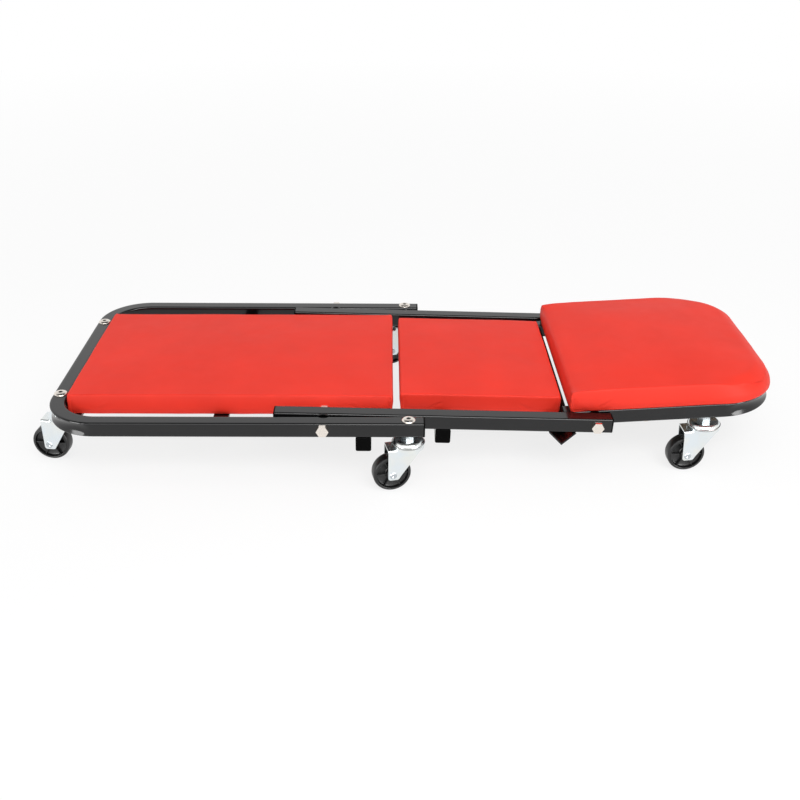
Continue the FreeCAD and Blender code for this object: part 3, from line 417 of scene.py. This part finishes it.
def birch_plywood(rgb):
    # Rotary-cut plywood: long soft grain on the faces, and thin darker bands between the plies
    # along the edges. Its colour is darker than bare birch: painted shade for the undersides of the
    # boards under the pads.
    material, tree, shader = new_material("birch_plywood", Roughness=0.62)
    along = add(tree, "ShaderNodeMapping", {"Vector": own_place(tree),
                                            "Scale": [per_metre(size) for size in (120, 7, 1.8)]})
    noisy = add(tree, "ShaderNodeTexNoise", {"Vector": along.outputs["Vector"], "Scale": 1,
                                             "Detail": 6, "Distortion": 0.6})
    grain = noisy.outputs["Fac"]
    tinted(tree, shader, grain, opaque(rgb, 0.62), opaque(rgb, 1.15), 0.3, 0.7)
    bumped(tree, shader, grain, 0.3, 0.2)
    return material


def bare_rays(tree):
    """One where a ray shows the background as it is: to the camera, in gloss and through glass."""
    path = add(tree, "ShaderNodeLightPath")
    seen = add(tree, "ShaderNodeMath", {0: path.outputs["Is Camera Ray"],
                                        1: path.outputs["Is Glossy Ray"]}, operation="ADD")
    return add(tree, "ShaderNodeMath", {0: seen.outputs["Value"],
                                        1: path.outputs["Is Transmission Ray"]},
               operation="ADD", use_clamp=True).outputs["Value"]


def studio_paint(rgb, clear):
    # Matt studio floor paint: an even pale sweep that keeps soft shadows, and that shows mostly as
    # the white background, wholly so further out.
    material, tree, shader = new_material("studio_paint", Roughness=0.85)
    tinted(tree, shader, mottle(tree, 60, Detail=2), opaque(rgb, 0.995), opaque(rgb))
    away = add(tree, "ShaderNodeVectorMath", {0: own_place(tree)}, operation="LENGTH")
    fade = add(tree, "ShaderNodeMapRange",
               {"Value": away.outputs["Value"], "From Min": FADE_FROM, "From Max": FADE_TO,
                "To Min": clear, "To Max": 1})
    share = add(tree, "ShaderNodeMath", {0: bare_rays(tree), 1: fade.outputs["Result"]},
                operation="MULTIPLY")
    white = add(tree, "ShaderNodeEmission")
    mixed = add(tree, "ShaderNodeMixShader", {0: share.outputs["Value"], 1: shader.outputs["BSDF"],
                                              2: white.outputs["Emission"]})
    tree.links.new(mixed.outputs["Shader"], tree.nodes["Material Output"].inputs["Surface"])
    return material


# Shared steps


def joint(name):
    found = [item for item in frame["joints"] if item["name"] == name]
    if not found:
        raise RuntimeError(f"the frame has no joint {name}")
    return found[0]


def section_places():
    """Where each section's own frame lies at rest."""
    fold = Vector(joint("middle_fold")["pos_m"])
    head_fold = Vector(joint("head_fold")["pos_m"])
    run = head_fold - fold
    sag = math.atan2(-run.z, run.x)
    stem = Vector(joint("head_left_swivel")["axis"])
    rise = math.atan2(-stem.x, stem.z)
    low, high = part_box("base_frame")
    return {
        "base": Matrix.Translation((fold.x, 0, (low.z + high.z) / 2)),
        "middle": Matrix.Translation(fold) @ Matrix.Rotation(sag, 4, "Y"),
        "head": Matrix.Translation(head_fold) @ Matrix.Rotation(-rise, 4, "Y"),
    }


def box_in(place, node):
    """A CAD node's lowest and highest corners in a section's own frame."""
    back = place.inverted()
    points = [back @ vertex.co for vertex in frame["nodes"][node].data.vertices]
    corners = [[pick(point[axis] for point in points) for axis in range(3)] for pick in (min, max)]
    return Vector(corners[0]), Vector(corners[1])


def new_piece(name, mesh, material, body):
    """Put a finished mesh in the scene, riding on a body."""
    piece = bpy.data.objects.new(name, mesh)
    bpy.context.scene.collection.objects.link(piece)
    mesh.materials.clear()
    mesh.materials.append(material)
    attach(piece, body)
    return piece


def smooth_piece(name, bm, place, material, body):
    """Put a hard bmesh shape at its place, smooth but for its corners, riding on a body."""
    bmesh.ops.transform(bm, matrix=place, verts=bm.verts)
    mesh = bpy.data.meshes.new(name)
    bm.to_mesh(mesh)
    bm.free()
    mesh.shade_smooth()
    mesh.set_sharp_from_angle(angle=SHARP_ANGLE)
    return new_piece(name, mesh, material, body)


def corners_of(made):
    """The vertices among what a bmesh operator made."""
    return [item for item in made if isinstance(item, bmesh.types.BMVert)]


def outer_edges(made):
    """The edges on the border among what a bmesh operator made."""
    return [item for item in made if isinstance(item, bmesh.types.BMEdge) and item.is_boundary]


def dress(names, material):
    """Give CAD nodes a finish."""
    for name in names:
        mesh = frame["nodes"][name].data
        mesh.materials.clear()
        mesh.materials.append(material)


def nodes_of(slot):
    return [entry["node"] for entry in frame["record"]["subparts"]
            if entry["material_slot"] == slot]


# Cushions


class Outline:
    """A pad's plan: a rectangle with its own corner radius at each end."""

    def __init__(self, low, high, foot_round, head_round):
        self.middle = Vector(((low.x + high.x) / 2, (low.y + high.y) / 2))
        self.half = Vector(((high.x - low.x) / 2, (high.y - low.y) / 2))
        self.foot_round = foot_round
        self.head_round = head_round

    def core(self, point):
        """The nearest point of the rectangle that the corner arcs are drawn from."""
        radius = self.head_round if point.x > self.middle.x else self.foot_round
        away = point - self.middle
        kept = [max(-limit + radius, min(limit - radius, value))
                for value, limit in zip(away, self.half)]
        return self.middle + Vector(kept), radius

    def rounded(self, share):
        """Where a point of the plain rectangle, given in shares from -1 to 1, lands."""
        point = self.middle + Vector((share.x * self.half.x, share.y * self.half.y))
        core, radius = self.core(point)
        over = (point - core) / radius
        return core + radius * Vector((over.x * math.sqrt(1 - over.y ** 2 / 2),
                                       over.y * math.sqrt(1 - over.x ** 2 / 2)))

    def depth(self, point):
        """How far a point near the edge lies inside it."""
        core, radius = self.core(point)
        return radius - (point - core).length

    def outward(self, point):
        core = self.core(point)[0]
        away = point - core
        return away.normalized() if away.length > 1e-7 else Vector((0, 0))


def ramp(low, high, value):
    """A smooth step from 0 at low to 1 at high."""
    share = max(0, min(1, (value - low) / (high - low)))
    return share * share * (3 - 2 * share)


class Pad:
    """Sizes of one pad in its section's own frame."""

    def __init__(self, section, place, settings):
        low, high = box_in(place, f"{section}_cushion")
        board_low, board_high = box_in(place, f"{section}_board")
        self.settings = settings
        self.is_head = section == "head"
        index = SECTIONS.index(section)
        low.x -= settings.foot_swell[index]
        high.x += settings.head_swell[index]
        self.outline = Outline(low, high, settings.corner,
                               settings.head_corner if self.is_head else settings.corner)
        self.floor = board_low.z
        self.height = high.z - settings.edge_drop[index] - board_low.z
        self.recess = board_high.z - board_low.z + 0.4 * MM
        self.crown = settings.crown[index]
        self.crease = settings.crease[index]
        self.side_inset = settings.edge_inset[index]
        self.end_inset = settings.end_inset[index]
        self.hem_inset = settings.hem_inset[index]

    def headward(self, point):
        """From 0 to 1 round the rounded head end."""
        along = (point.x - self.outline.middle.x) / self.outline.half.x
        return ramp(0.25, 0.95, along) if self.is_head else 0

    def edge_height(self, point):
        """Height of the top edge, which falls away round the head end."""
        return self.height - self.settings.head_roll * self.headward(point)

    def foot_fall(self, point):
        """How far the head pad's cover rolls down at its foot end."""
        from_end = point.x - self.outline.middle.x + self.outline.half.x
        from_side = self.outline.half.y - abs(point.y - self.outline.middle.y)
        share = max(0, 1 - from_end / self.settings.foot_run) ** 2 if self.is_head else 0
        inward = ramp(0, self.settings.foot_run, from_side)
        return self.settings.foot_roll * share * (0.3 + 0.7 * inward)

    def edge_inset(self, point):
        """How far the top edge stands in from the widest level."""
        share = self.outline.outward(point.xy).y ** 2
        inset = self.side_inset * share + self.end_inset * (1 - share)
        return inset + self.settings.head_draw * self.headward(point)

    def by_corner(self, point):
        """Whether a point lies in a square corner."""
        end = self.outline.half.x - abs(point.x - self.outline.middle.x)
        side = self.outline.half.y - abs(point.y - self.outline.middle.y)
        return max(end, side) < 0.85 * self.settings.cell and not self.headward(point)


def cover_shell(pad):
    """The cover before it is filled: top, drawn-in sides, hem and a recess for the board."""
    settings = pad.settings
    outline = pad.outline
    bm = bmesh.new()
    columns = round(2 * outline.half.x / settings.cell)
    rows = round(2 * outline.half.y / settings.cell)
    bmesh.ops.create_grid(bm, x_segments=columns, y_segments=rows, size=1)
    rim = bm.edges.layers.int.new("rim")
    plan = bm.verts.layers.float_vector.new("plan")
    for vertex in bm.verts:
        point = outline.rounded(vertex.co.xy)
        near_edge = 1 - ramp(0, 3 * settings.cell, outline.depth(point))
        fall = (pad.height - pad.edge_height(point)) * near_edge + pad.foot_fall(point)
        vertex[plan] = point.to_3d()
        vertex.co = Vector((point.x, point.y, pad.floor + pad.height - fall))
    border = [edge for edge in bm.edges if edge.is_boundary]
    for vertex in {corner for edge in border for corner in edge.verts}:
        point = vertex[plan].xy
        vertex.co.xy -= outline.outward(point) * pad.edge_inset(point)
    for edge in border:
        edge[rim] = 1
    for share, top_share, hem_share in SIDE_LEVELS:
        made = bmesh.ops.extrude_edge_only(bm, edges=border)["geom"]
        border = outer_edges(made)
        for vertex in corners_of(made):
            point = vertex[plan].xy
            hem = hem_share * pad.hem_inset * (1 - pad.headward(point))
            inset = top_share * pad.edge_inset(point) + hem
            vertex.co.xy = point - outline.outward(point) * inset
            vertex.co.z = pad.floor + share * (pad.edge_height(point) - pad.foot_fall(point))
        for edge in border:
            edge[rim] = 0
    underside = bmesh.ops.contextual_create(bm, geom=border)["faces"]
    bmesh.ops.inset_region(bm, faces=underside, thickness=settings.wrap, use_even_offset=True)
    lifted = bmesh.ops.extrude_face_region(bm, geom=underside)["geom"]
    bmesh.ops.delete(bm, geom=underside, context="FACES")
    raised = corners_of(lifted)
    bmesh.ops.translate(bm, verts=raised, vec=(0, 0, pad.recess))
    bmesh.ops.recalc_face_normals(bm, faces=bm.faces)
    bm.verts.index_update()
    held = [vertex.index for vertex in bm.verts
            if vertex.co.z < pad.floor + HEM_LEVEL * pad.height or vertex in raised]
    return bm, held


def evened(swell, mesh, held, rounds):
    """Average each vertex's move with its neighbours', so that the cover fills without lumps."""
    neighbours = [[] for _ in mesh.vertices]
    for edge in mesh.edges:
        one, other = edge.vertices
        neighbours[one].append(other)
        neighbours[other].append(one)
    fixed = set(held)
    for _ in range(rounds):
        swell = [move if index in fixed else
                 (move + sum((swell[other] for other in neighbours[index]), Vector()))
                 / (1 + len(neighbours[index]))
                 for index, move in enumerate(swell)]
    return swell


def fill_cover(mesh, held, pad):
    """Press the foam into the cover with a cloth simulation, and scale its swell to the crown."""
    scene = bpy.context.scene
    trial = bpy.data.objects.new("trial", mesh)
    scene.collection.objects.link(trial)
    hem = trial.vertex_groups.new(name="hem")
    hem.add(held, 1, "REPLACE")
    cloth = trial.modifiers.new("Cloth", "CLOTH")
    cloth.settings.quality = 5
    cloth.settings.mass = 0.3
    cloth.settings.tension_stiffness = 12
    cloth.settings.compression_stiffness = 12
    cloth.settings.shear_stiffness = 6
    cloth.settings.bending_stiffness = 1.5
    cloth.settings.vertex_group_mass = "hem"
    cloth.settings.use_pressure = True
    cloth.settings.uniform_pressure_force = pad.settings.pressure
    cloth.settings.effector_weights.gravity = 0
    cloth.collision_settings.use_collision = False
    cloth.point_cache.frame_start = 1
    cloth.point_cache.frame_end = CLOTH_STEPS
    for step in range(1, CLOTH_STEPS + 1):
        scene.frame_set(step)
    filled = trial.evaluated_get(bpy.context.evaluated_depsgraph_get()).to_mesh()
    swell = [after.co - before.co for after, before in zip(filled.vertices, mesh.vertices)]
    swell = evened(swell, mesh, held, pad.settings.evening)
    largest = max(move.length for move in swell)
    if largest < 1e-6:
        raise RuntimeError("the cover did not fill")
    for vertex, move in zip(mesh.vertices, swell):
        vertex.co += move * pad.crown / largest
    bpy.data.objects.remove(trial)
    scene.frame_set(1)


def refined(mesh):
    """The mesh two steps of smooth subdivision finer."""
    trial = bpy.data.objects.new("trial", mesh)
    bpy.context.scene.collection.objects.link(trial)
    trial.modifiers.new("Finer", "SUBSURF").levels = 2
    state = trial.evaluated_get(bpy.context.evaluated_depsgraph_get())
    finer = bpy.data.meshes.new_from_object(state)
    bpy.data.objects.remove(trial)
    return finer


def settle(mesh, pad):
    """Gather the cover under its square corners, pleat it beside them and ripple it all over."""
    settings = pad.settings
    outline = pad.outline
    moves = []
    for vertex in mesh.vertices:
        point = vertex.co
        level = (point.z - pad.floor) / pad.height
        slow = noise.noise(point / RIPPLE_LONG)
        quick = noise.noise(point / RIPPLE_SHORT)
        move = vertex.normal * settings.ripple * (slow + 0.25 * quick)
        side = outline.outward(point.xy)
        if outline.depth(point.xy) < settings.wrap and level < 1:
            from_end = outline.half.x - abs(point.x - outline.middle.x)
            from_side = outline.half.y - abs(point.y - outline.middle.y)
            on_side = abs(side.y) > abs(side.x)
            run = max(from_end, from_side)
            square = not pad.is_head or point.x < outline.middle.x
            if square:
                under = 1 - run / settings.gather_run - level
                push = -settings.gather * ramp(0, 0.5, under)
                if on_side:
                    rise = (ramp(0, PLEAT_TOP, run) if run < PLEAT_TOP else
                            -0.4 * (1 - ramp(PLEAT_TOP, PLEAT_END, run)))
                    push += settings.pleat * rise * (1 - ramp(0.75, 1, level))
                    across = Vector((run - WRINKLE_ALONG, point.z - pad.floor - WRINKLE_UP))
                    along = across.dot(Vector((WRINKLE_COSINE, WRINKLE_SINE)))
                    off = across.dot(Vector((-WRINKLE_SINE, WRINKLE_COSINE))) / WRINKLE_WIDTH
                    fade = 1 - ramp(WRINKLE_FULL, WRINKLE_END, abs(along))
                    push += settings.wrinkle * fade * (off - 0.3) * math.exp(-off * off)
                move += side.to_3d() * push
        moves.append(move)
    for vertex, move in zip(mesh.vertices, moves):
        vertex.co += move


class CREEPER_OT_cushions(bpy.types.Operator):
    """Make the three padded vinyl cushions"""
    bl_idname = "creeper.cushions"
    bl_label = "Cushions"

    def execute(self, context):
        settings = context.scene.creeper_cushions
        vinyl = calendered_vinyl(settings.vinyl)
        for section, place in section_places().items():
            pad = Pad(section, place, settings)
            bm, held = cover_shell(pad)
            mesh = bpy.data.meshes.new(f"{section}_cover")
            bm.to_mesh(mesh)
            bm.free()
            fill_cover(mesh, held, pad)
            bm = bmesh.new()
            bm.from_mesh(mesh)
            rim = bm.edges.layers.int["rim"]
            bmesh.ops.bevel(bm, geom=[edge for edge in bm.edges if edge[rim]], offset=pad.crease,
                            offset_type="OFFSET", segments=3, profile=0.5, affect="EDGES",
                            material=-1, clamp_overlap=True)
            crease = bm.edges.layers.float.new("crease_edge")
            for edge in bm.edges:
                if all(vertex.co.z < pad.floor + HEM_LEVEL * pad.height for vertex in edge.verts):
                    edge[crease] = 1
                elif all(pad.by_corner(vertex.co) for vertex in edge.verts):
                    edge[crease] = 0.75
            bm.to_mesh(mesh)
            bm.free()
            mesh = refined(mesh)
            settle(mesh, pad)
            mesh.transform(place)
            for face in mesh.polygons:
                face.use_smooth = True
            piece = new_piece(f"{section}_cover", mesh, vinyl, section)
            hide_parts(f"{section}_cushion")
        return {"FINISHED"}


# Frame


def tube_loop(centre, side, corner):
    """A square tube's section as a loop of edges across X, with its flats divided."""
    bm = bmesh.new()
    upright = Matrix.Translation(centre) @ Matrix.Rotation(math.pi / 2, 4, "Y")
    bmesh.ops.create_grid(bm, x_segments=1, y_segments=1, size=side / 2, matrix=upright)
    bmesh.ops.bevel(bm, geom=bm.verts[:], offset=corner, offset_type="OFFSET", segments=4,
                    profile=0.5, affect="VERTICES", material=-1)
    flats = [edge for edge in bm.edges if edge.calc_length() > side / 2]
    bmesh.ops.subdivide_edges(bm, edges=flats, cuts=FLAT_CUTS)
    bmesh.ops.delete(bm, geom=bm.faces[:], context="FACES_ONLY")
    return bm


def bent_tube(low, high, closed, radius, settings):
    """A U of square tube in a section's own frame, whose bends have sunk in on the outside.

    closed is 1 where the end tube lies towards +X, and -1 towards -X.
    """
    side = high.z - low.z
    end = closed * (high.x if closed > 0 else low.x)
    start = closed * (low.x if closed > 0 else high.x)
    half = high.y
    level = (low.z + high.z) / 2
    bm = tube_loop((start, side / 2 - half, level), side, settings.corner)
    ring = bm.edges[:]

    def run(edges, x=0, y=0):
        made = bmesh.ops.extrude_edge_only(bm, edges=edges)["geom"]
        bmesh.ops.translate(bm, verts=corners_of(made), vec=(x, y, 0))
        return outer_edges(made)

    def turn(edges, centre):
        corners = list({corner for edge in edges for corner in edge.verts})
        made = bmesh.ops.spin(bm, geom=edges + corners, cent=centre, axis=(0, 0, 1),
                              angle=math.pi / 2, steps=BEND_STEPS)["geom_last"]
        return [item for item in made if isinstance(item, bmesh.types.BMEdge)]

    centres = [Vector((end - radius, way * (half - radius), level)) for way in (-1, 1)]
    ring = run(ring, x=end - radius - start)
    ring = turn(ring, centres[0])
    ring = run(ring, y=2 * (half - radius))
    ring = turn(ring, centres[1])
    run(ring, x=start - end + radius)
    bmesh.ops.holes_fill(bm, edges=[edge for edge in bm.edges if edge.is_boundary], sides=0)
    for vertex in bm.verts:
        for centre in centres:
            away = (vertex.co - centre).xy
            if away.x > 0 and away.y * centre.y > 0:
                mid_bend = ramp(0, 1, 4 * abs(away.x * away.y) / away.length_squared)
                outside = ramp(radius - 2 * settings.corner, radius, away.length)
                across = max(0, 1 - ((vertex.co.z - level) / (side / 2 - settings.corner / 2)) ** 2)
                sunk = settings.dent * mid_bend * outside * across
                vertex.co -= (away.normalized() * sunk).to_3d()
    if closed < 0:
        bmesh.ops.scale(bm, vec=(-1, 1, 1), verts=bm.verts)
    bmesh.ops.recalc_face_normals(bm, faces=bm.faces)
    return bm


class CREEPER_OT_tubes(bpy.types.Operator):
    """Bend the base and head tubes"""
    bl_idname = "creeper.tubes"
    bl_label = "Bent tubes"

    def execute(self, context):
        settings = context.scene.creeper_frame
        places = section_places()
        paint = powder_coat(settings.paint)
        for section, closed in (("base", -1), ("head", 1)):
            low, high = box_in(places[section], f"{section}_frame")
            bend = settings.bend[SECTIONS.index(section)]
            bm = bent_tube(low, high, closed, bend, settings)
            piece = smooth_piece(f"{section}_tube", bm, places[section], paint, section)
            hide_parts(f"{section}_frame")
        return {"FINISHED"}


class CREEPER_OT_frame(bpy.types.Operator):
    """Paint the tubes, bars and stop angle, and finish the boards and end caps"""
    bl_idname = "creeper.frame"
    bl_label = "Frame"

    def execute(self, context):
        settings = context.scene.creeper_frame
        dress(nodes_of("black_paint"), powder_coat(settings.paint))
        dress(nodes_of("black_cap"), moulded_polythene(settings.cap))
        dress(nodes_of("plywood"), birch_plywood(settings.plywood))
        return {"FINISHED"}


# Casters


def wheel_shape(radius, settings):
    """A dished wheel about Y: tread, rim lips, web, hub and ribs."""
    unit = radius / WHEEL_RADIUS
    bm = bmesh.new()
    outer = [bm.verts.new((across * unit, along * unit, 0)) for across, along in WHEEL_SECTION]
    inner = [bm.verts.new((across * unit, -along * unit, 0)) for across, along in WHEEL_SECTION]
    loop = outer + inner[::-1]
    edges = [bm.edges.new(pair) for pair in zip(loop, loop[1:] + loop[:1])]
    bmesh.ops.spin(bm, geom=loop + edges, cent=(0, 0, 0), axis=(0, 1, 0), angle=2 * math.pi,
                   steps=72, use_merge=True)
    for side in (1, -1):
        for number in range(settings.ribs):
            turn = Matrix.Rotation(2 * math.pi * number / settings.ribs, 4, "Y")
            place = Matrix.Translation((RIB_MIDDLE * unit, side * RIB_LEVEL * unit, 0))
            size = Matrix.Diagonal((RIB_RUN * unit, RIB_HEIGHT * unit, settings.rib, 1))
            rib = bmesh.ops.create_cube(bm, size=1, matrix=turn @ place @ size)["verts"]
            top = [edge for edge in {edge for vertex in rib for edge in vertex.link_edges}
                   if all(side * vertex.co.y > RIB_LEVEL * unit for vertex in edge.verts)]
            bmesh.ops.bevel(bm, geom=top, offset=RIB_BEVEL * unit, segments=2, profile=0.5,
                            affect="EDGES", material=-1)
    bmesh.ops.remove_doubles(bm, verts=bm.verts, dist=1e-6)
    bmesh.ops.recalc_face_normals(bm, faces=bm.faces)
    return bm


class CREEPER_OT_wheels(bpy.types.Operator):
    """Turn the six ribbed wheels"""
    bl_idname = "creeper.wheels"
    bl_label = "Wheels"

    def execute(self, context):
        settings = context.scene.creeper_casters
        nylon = moulded_nylon(settings.nylon)
        for place in PLACES:
            roll = joint(f"{place}_roll")
            low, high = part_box(f"wheel_{place}")
            bm = wheel_shape((high.z - low.z) / 2, settings)
            turn = Vector((0, 1, 0)).rotation_difference(Vector(roll["axis"])).to_matrix().to_4x4()
            stand = Matrix.Translation(roll["pos_m"]) @ turn
            piece = smooth_piece(f"wheel_{place}_shell", bm, stand, nylon, roll["child"])
            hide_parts(f"wheel_{place}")
        return {"FINISHED"}


def spun(profile, steps, closed=False):
    """A profile of radius and height in millimetres, spun round Z."""
    bm = bmesh.new()
    line = [bm.verts.new((across * MM, 0, up * MM)) for across, up in profile]
    ends = line[1:] + line[:1] if closed else line[1:]
    edges = [bm.edges.new(pair) for pair in zip(line, ends)]
    bmesh.ops.spin(bm, geom=line + edges, cent=(0, 0, 0), axis=(0, 0, 1), angle=2 * math.pi,
                   steps=steps, use_merge=True)
    bmesh.ops.remove_doubles(bm, verts=bm.verts, dist=1e-6)
    return bm


def stem_bolt(seat, tip, settings):
    """A low-headed bolt with a hex socket, from its tip up through its seat."""
    rim = settings.head / 2 / MM
    crown = settings.head_height / MM
    low = tip / MM
    face = seat / MM
    bm = spun([(0, low), (STEM_RADIUS - TIP_CHAMFER, low), (STEM_RADIUS, low + TIP_CHAMFER),
               (STEM_RADIUS, face), (rim, face), (rim, face + 0.3 * crown),
               (0.94 * rim, face + 0.55 * crown), (0.74 * rim, face + 0.9 * crown),
               (0.55 * rim, face + crown)], 48)
    opening = [edge for edge in bm.edges if edge.is_boundary]
    top = Matrix.Translation((0, 0, seat + settings.head_height))
    bmesh.ops.create_circle(bm, segments=6, radius=settings.socket / 2, matrix=top)
    sides = [edge for edge in bm.edges if edge.is_wire]
    bmesh.ops.subdivide_edges(bm, edges=sides, cuts=SOCKET_CUTS)
    sides = [edge for edge in bm.edges if edge.is_wire]
    bmesh.ops.bridge_loops(bm, edges=opening + sides)
    walls = bmesh.ops.extrude_edge_only(bm, edges=sides)["geom"]
    bmesh.ops.translate(bm, verts=corners_of(walls), vec=(0, 0, -0.8 * settings.head_height))
    bmesh.ops.holes_fill(bm, edges=[edge for edge in bm.edges if edge.is_boundary], sides=0)
    bmesh.ops.recalc_face_normals(bm, faces=bm.faces)
    return bm


def bearing_cup():
    """A domed bearing cup with a turned-down rim, its crown at the origin."""
    bm = spun(CUP_SECTION, 72, closed=True)
    bmesh.ops.recalc_face_normals(bm, faces=bm.faces)
    return bm


def merged(shapes):
    """Join bmesh shapes, each with its place, into one."""
    whole = bmesh.new()
    for bm, place in shapes:
        bmesh.ops.transform(bm, matrix=place, verts=bm.verts)
        part = bpy.data.meshes.new("part")
        bm.to_mesh(part)
        bm.free()
        whole.from_mesh(part)
        bpy.data.meshes.remove(part)
    return whole


class CREEPER_OT_casters(bpy.types.Operator):
    """Make the stem bolts and bearing cups, and finish the forks and fasteners"""
    bl_idname = "creeper.casters"
    bl_label = "Casters"

    def execute(self, context):
        settings = context.scene.creeper_casters
        zinc = bright_zinc(settings.zinc)
        nickel = nickel_plate(settings.nickel)
        passivated_and_shaded = passivated_zinc(settings.nut)
        for section, place in section_places().items():
            stems = [joint(f"{end}_swivel") for end in PLACES]
            points = [place.inverted() @ Vector(stem["pos_m"]) for stem in stems
                      if stem["parent"] == section]
            if points:
                seat = box_in(place, f"{section}_frame")[1].z
                tip = box_in(place, f"{section}_caster_bolts")[0].z
                bolts = merged([(stem_bolt(seat, tip, settings),
                                 Matrix.Translation((point.x, point.y, 0))) for point in points])
                piece = smooth_piece(f"{section}_stem_bolts", bolts, place, nickel, section)
                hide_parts(f"{section}_caster_bolts")
                cups = merged([(bearing_cup(), Matrix.Translation(point)) for point in points])
                piece = smooth_piece(f"{section}_cups", cups, place, zinc, section)
                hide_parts(f"{section}_caster_cups")
        steel = nodes_of("steel")
        plain = nodes_of("zinc_plate")
        rivets = [name for name in plain if name.startswith("axle")]
        spacers = [name for name in steel if name.endswith("spacers")]
        nuts = [name for name in steel if name.endswith("caster_nuts")]
        dress([name for name in plain if name not in rivets], zinc)
        # Nuts and rivets get the darker zinc, whose extra darkness is partly painted shade.
        dress(rivets + nuts, passivated_and_shaded)
        dress(spacers, black_oxide(settings.oxide))
        dress([name for name in steel if name not in spacers + nuts], nickel)
        return {"FINISHED"}


# Stage


class CREEPER_OT_stage(bpy.types.Operator):
    """Set up the floor, the soft light and the camera"""
    bl_idname = "creeper.stage"
    bl_label = "Stage"

    def execute(self, context):
        settings = context.scene.creeper_stage
        scene = context.scene
        scene.view_settings.view_transform = "Standard"

        bm = bmesh.new()
        bmesh.ops.create_grid(bm, x_segments=1, y_segments=1, size=settings.reach)
        bmesh.ops.translate(bm, verts=bm.verts, vec=(0, 0, cad_box[0].z))
        mesh = bpy.data.meshes.new("floor")
        bm.to_mesh(mesh)
        bm.free()
        mesh.materials.append(studio_paint(settings.floor, settings.clear))
        floor = bpy.data.objects.new("floor", mesh)
        scene.collection.objects.link(floor)

        world = bpy.data.worlds.new("studio")
        world.use_nodes = True
        scene.world = world
        tree = world.node_tree
        back = tree.nodes["Background"]
        back.inputs["Color"].default_value = (1, 1, 1, 1)
        heading = add(tree, "ShaderNodeTexCoord").outputs["Generated"]
        height = add(tree, "ShaderNodeSeparateXYZ", {"Vector": heading}).outputs["Z"]
        wall = add(tree, "ShaderNodeMapRange", {"Value": height, "From Min": 0.55, "From Max": 0.9,
                                                "To Min": 1, "To Max": settings.ceiling},
                   interpolation_type="SMOOTHSTEP")
        level = add(tree, "ShaderNodeMapRange", {"Value": bare_rays(tree), "To Min": settings.sky,
                                                 "To Max": wall.outputs["Result"]})
        tree.links.new(level.outputs["Result"], back.inputs["Strength"])

        lamp = bpy.data.lights.new("overhead", "SUN")
        lamp.energy = settings.sun
        lamp.angle = SUN_SPREAD
        sun = bpy.data.objects.new("overhead", lamp)
        sun.rotation_euler = SUN_TURN
        sun.visible_glossy = False
        scene.collection.objects.link(sun)

        for name, stand, width, height in SOFTBOXES:
            lamp = bpy.data.lights.new(name, "AREA")
            lamp.shape = "RECTANGLE"
            lamp.size = width
            lamp.size_y = height
            lamp.energy = getattr(settings, name)
            box = bpy.data.objects.new(name, lamp)
            aim = (-Vector(stand)).to_track_quat("-Z", "Y").to_matrix().to_4x4()
            box.matrix_world = Matrix.Translation(stand) @ aim
            box.visible_camera = False
            box.visible_diffuse = name == "front"
            scene.collection.objects.link(box)

        view = bpy.data.cameras.new("camera")
        view.lens = settings.lens
        view.sensor_width = 36
        view.clip_end = 50
        camera = bpy.data.objects.new("camera", view)
        turn = (Matrix.Rotation(-CAMERA_YAW, 4, "Z")
                @ Matrix.Rotation(math.pi / 2 - CAMERA_PITCH, 4, "X")
                @ Matrix.Rotation(CAMERA_ROLL, 4, "Z"))
        camera.matrix_world = Matrix.Translation(CAMERA_PLACE) @ turn
        scene.collection.objects.link(camera)
        scene.camera = camera
        return {"FINISHED"}


# Add-on


OPERATORS = (CREEPER_OT_cushions, CREEPER_OT_tubes, CREEPER_OT_frame, CREEPER_OT_wheels,
             CREEPER_OT_casters, CREEPER_OT_stage)
SETTINGS = {
    "creeper_cushions": CushionSettings,
    "creeper_frame": FrameSettings,
    "creeper_casters": CasterSettings,
    "creeper_stage": StageSettings,
}


class CREEPER_PT_steps(bpy.types.Panel):
    """Lists the steps that dress the creeper"""
    bl_idname = "CREEPER_PT_steps"
    bl_label = "Creeper"
    bl_space_type = "VIEW_3D"
    bl_region_type = "UI"
    bl_category = "Creeper"

    def draw(self, context):
        for operator in OPERATORS:
            self.layout.operator(operator.bl_idname)


CLASSES = (*SETTINGS.values(), *OPERATORS, CREEPER_PT_steps)


def register():
    for item in CLASSES:
        bpy.utils.register_class(item)
    for name, group in SETTINGS.items():
        setattr(bpy.types.Scene, name, PointerProperty(type=group))


def unregister():
    for name in SETTINGS:
        delattr(bpy.types.Scene, name)
    for item in reversed(CLASSES):
        bpy.utils.unregister_class(item)


def main():
    register()
    bpy.ops.creeper.cushions()
    bpy.ops.creeper.tubes()
    bpy.ops.creeper.frame()
    bpy.ops.creeper.wheels()
    bpy.ops.creeper.casters()
    bpy.ops.creeper.stage()


if __name__ == "__main__":
    main()
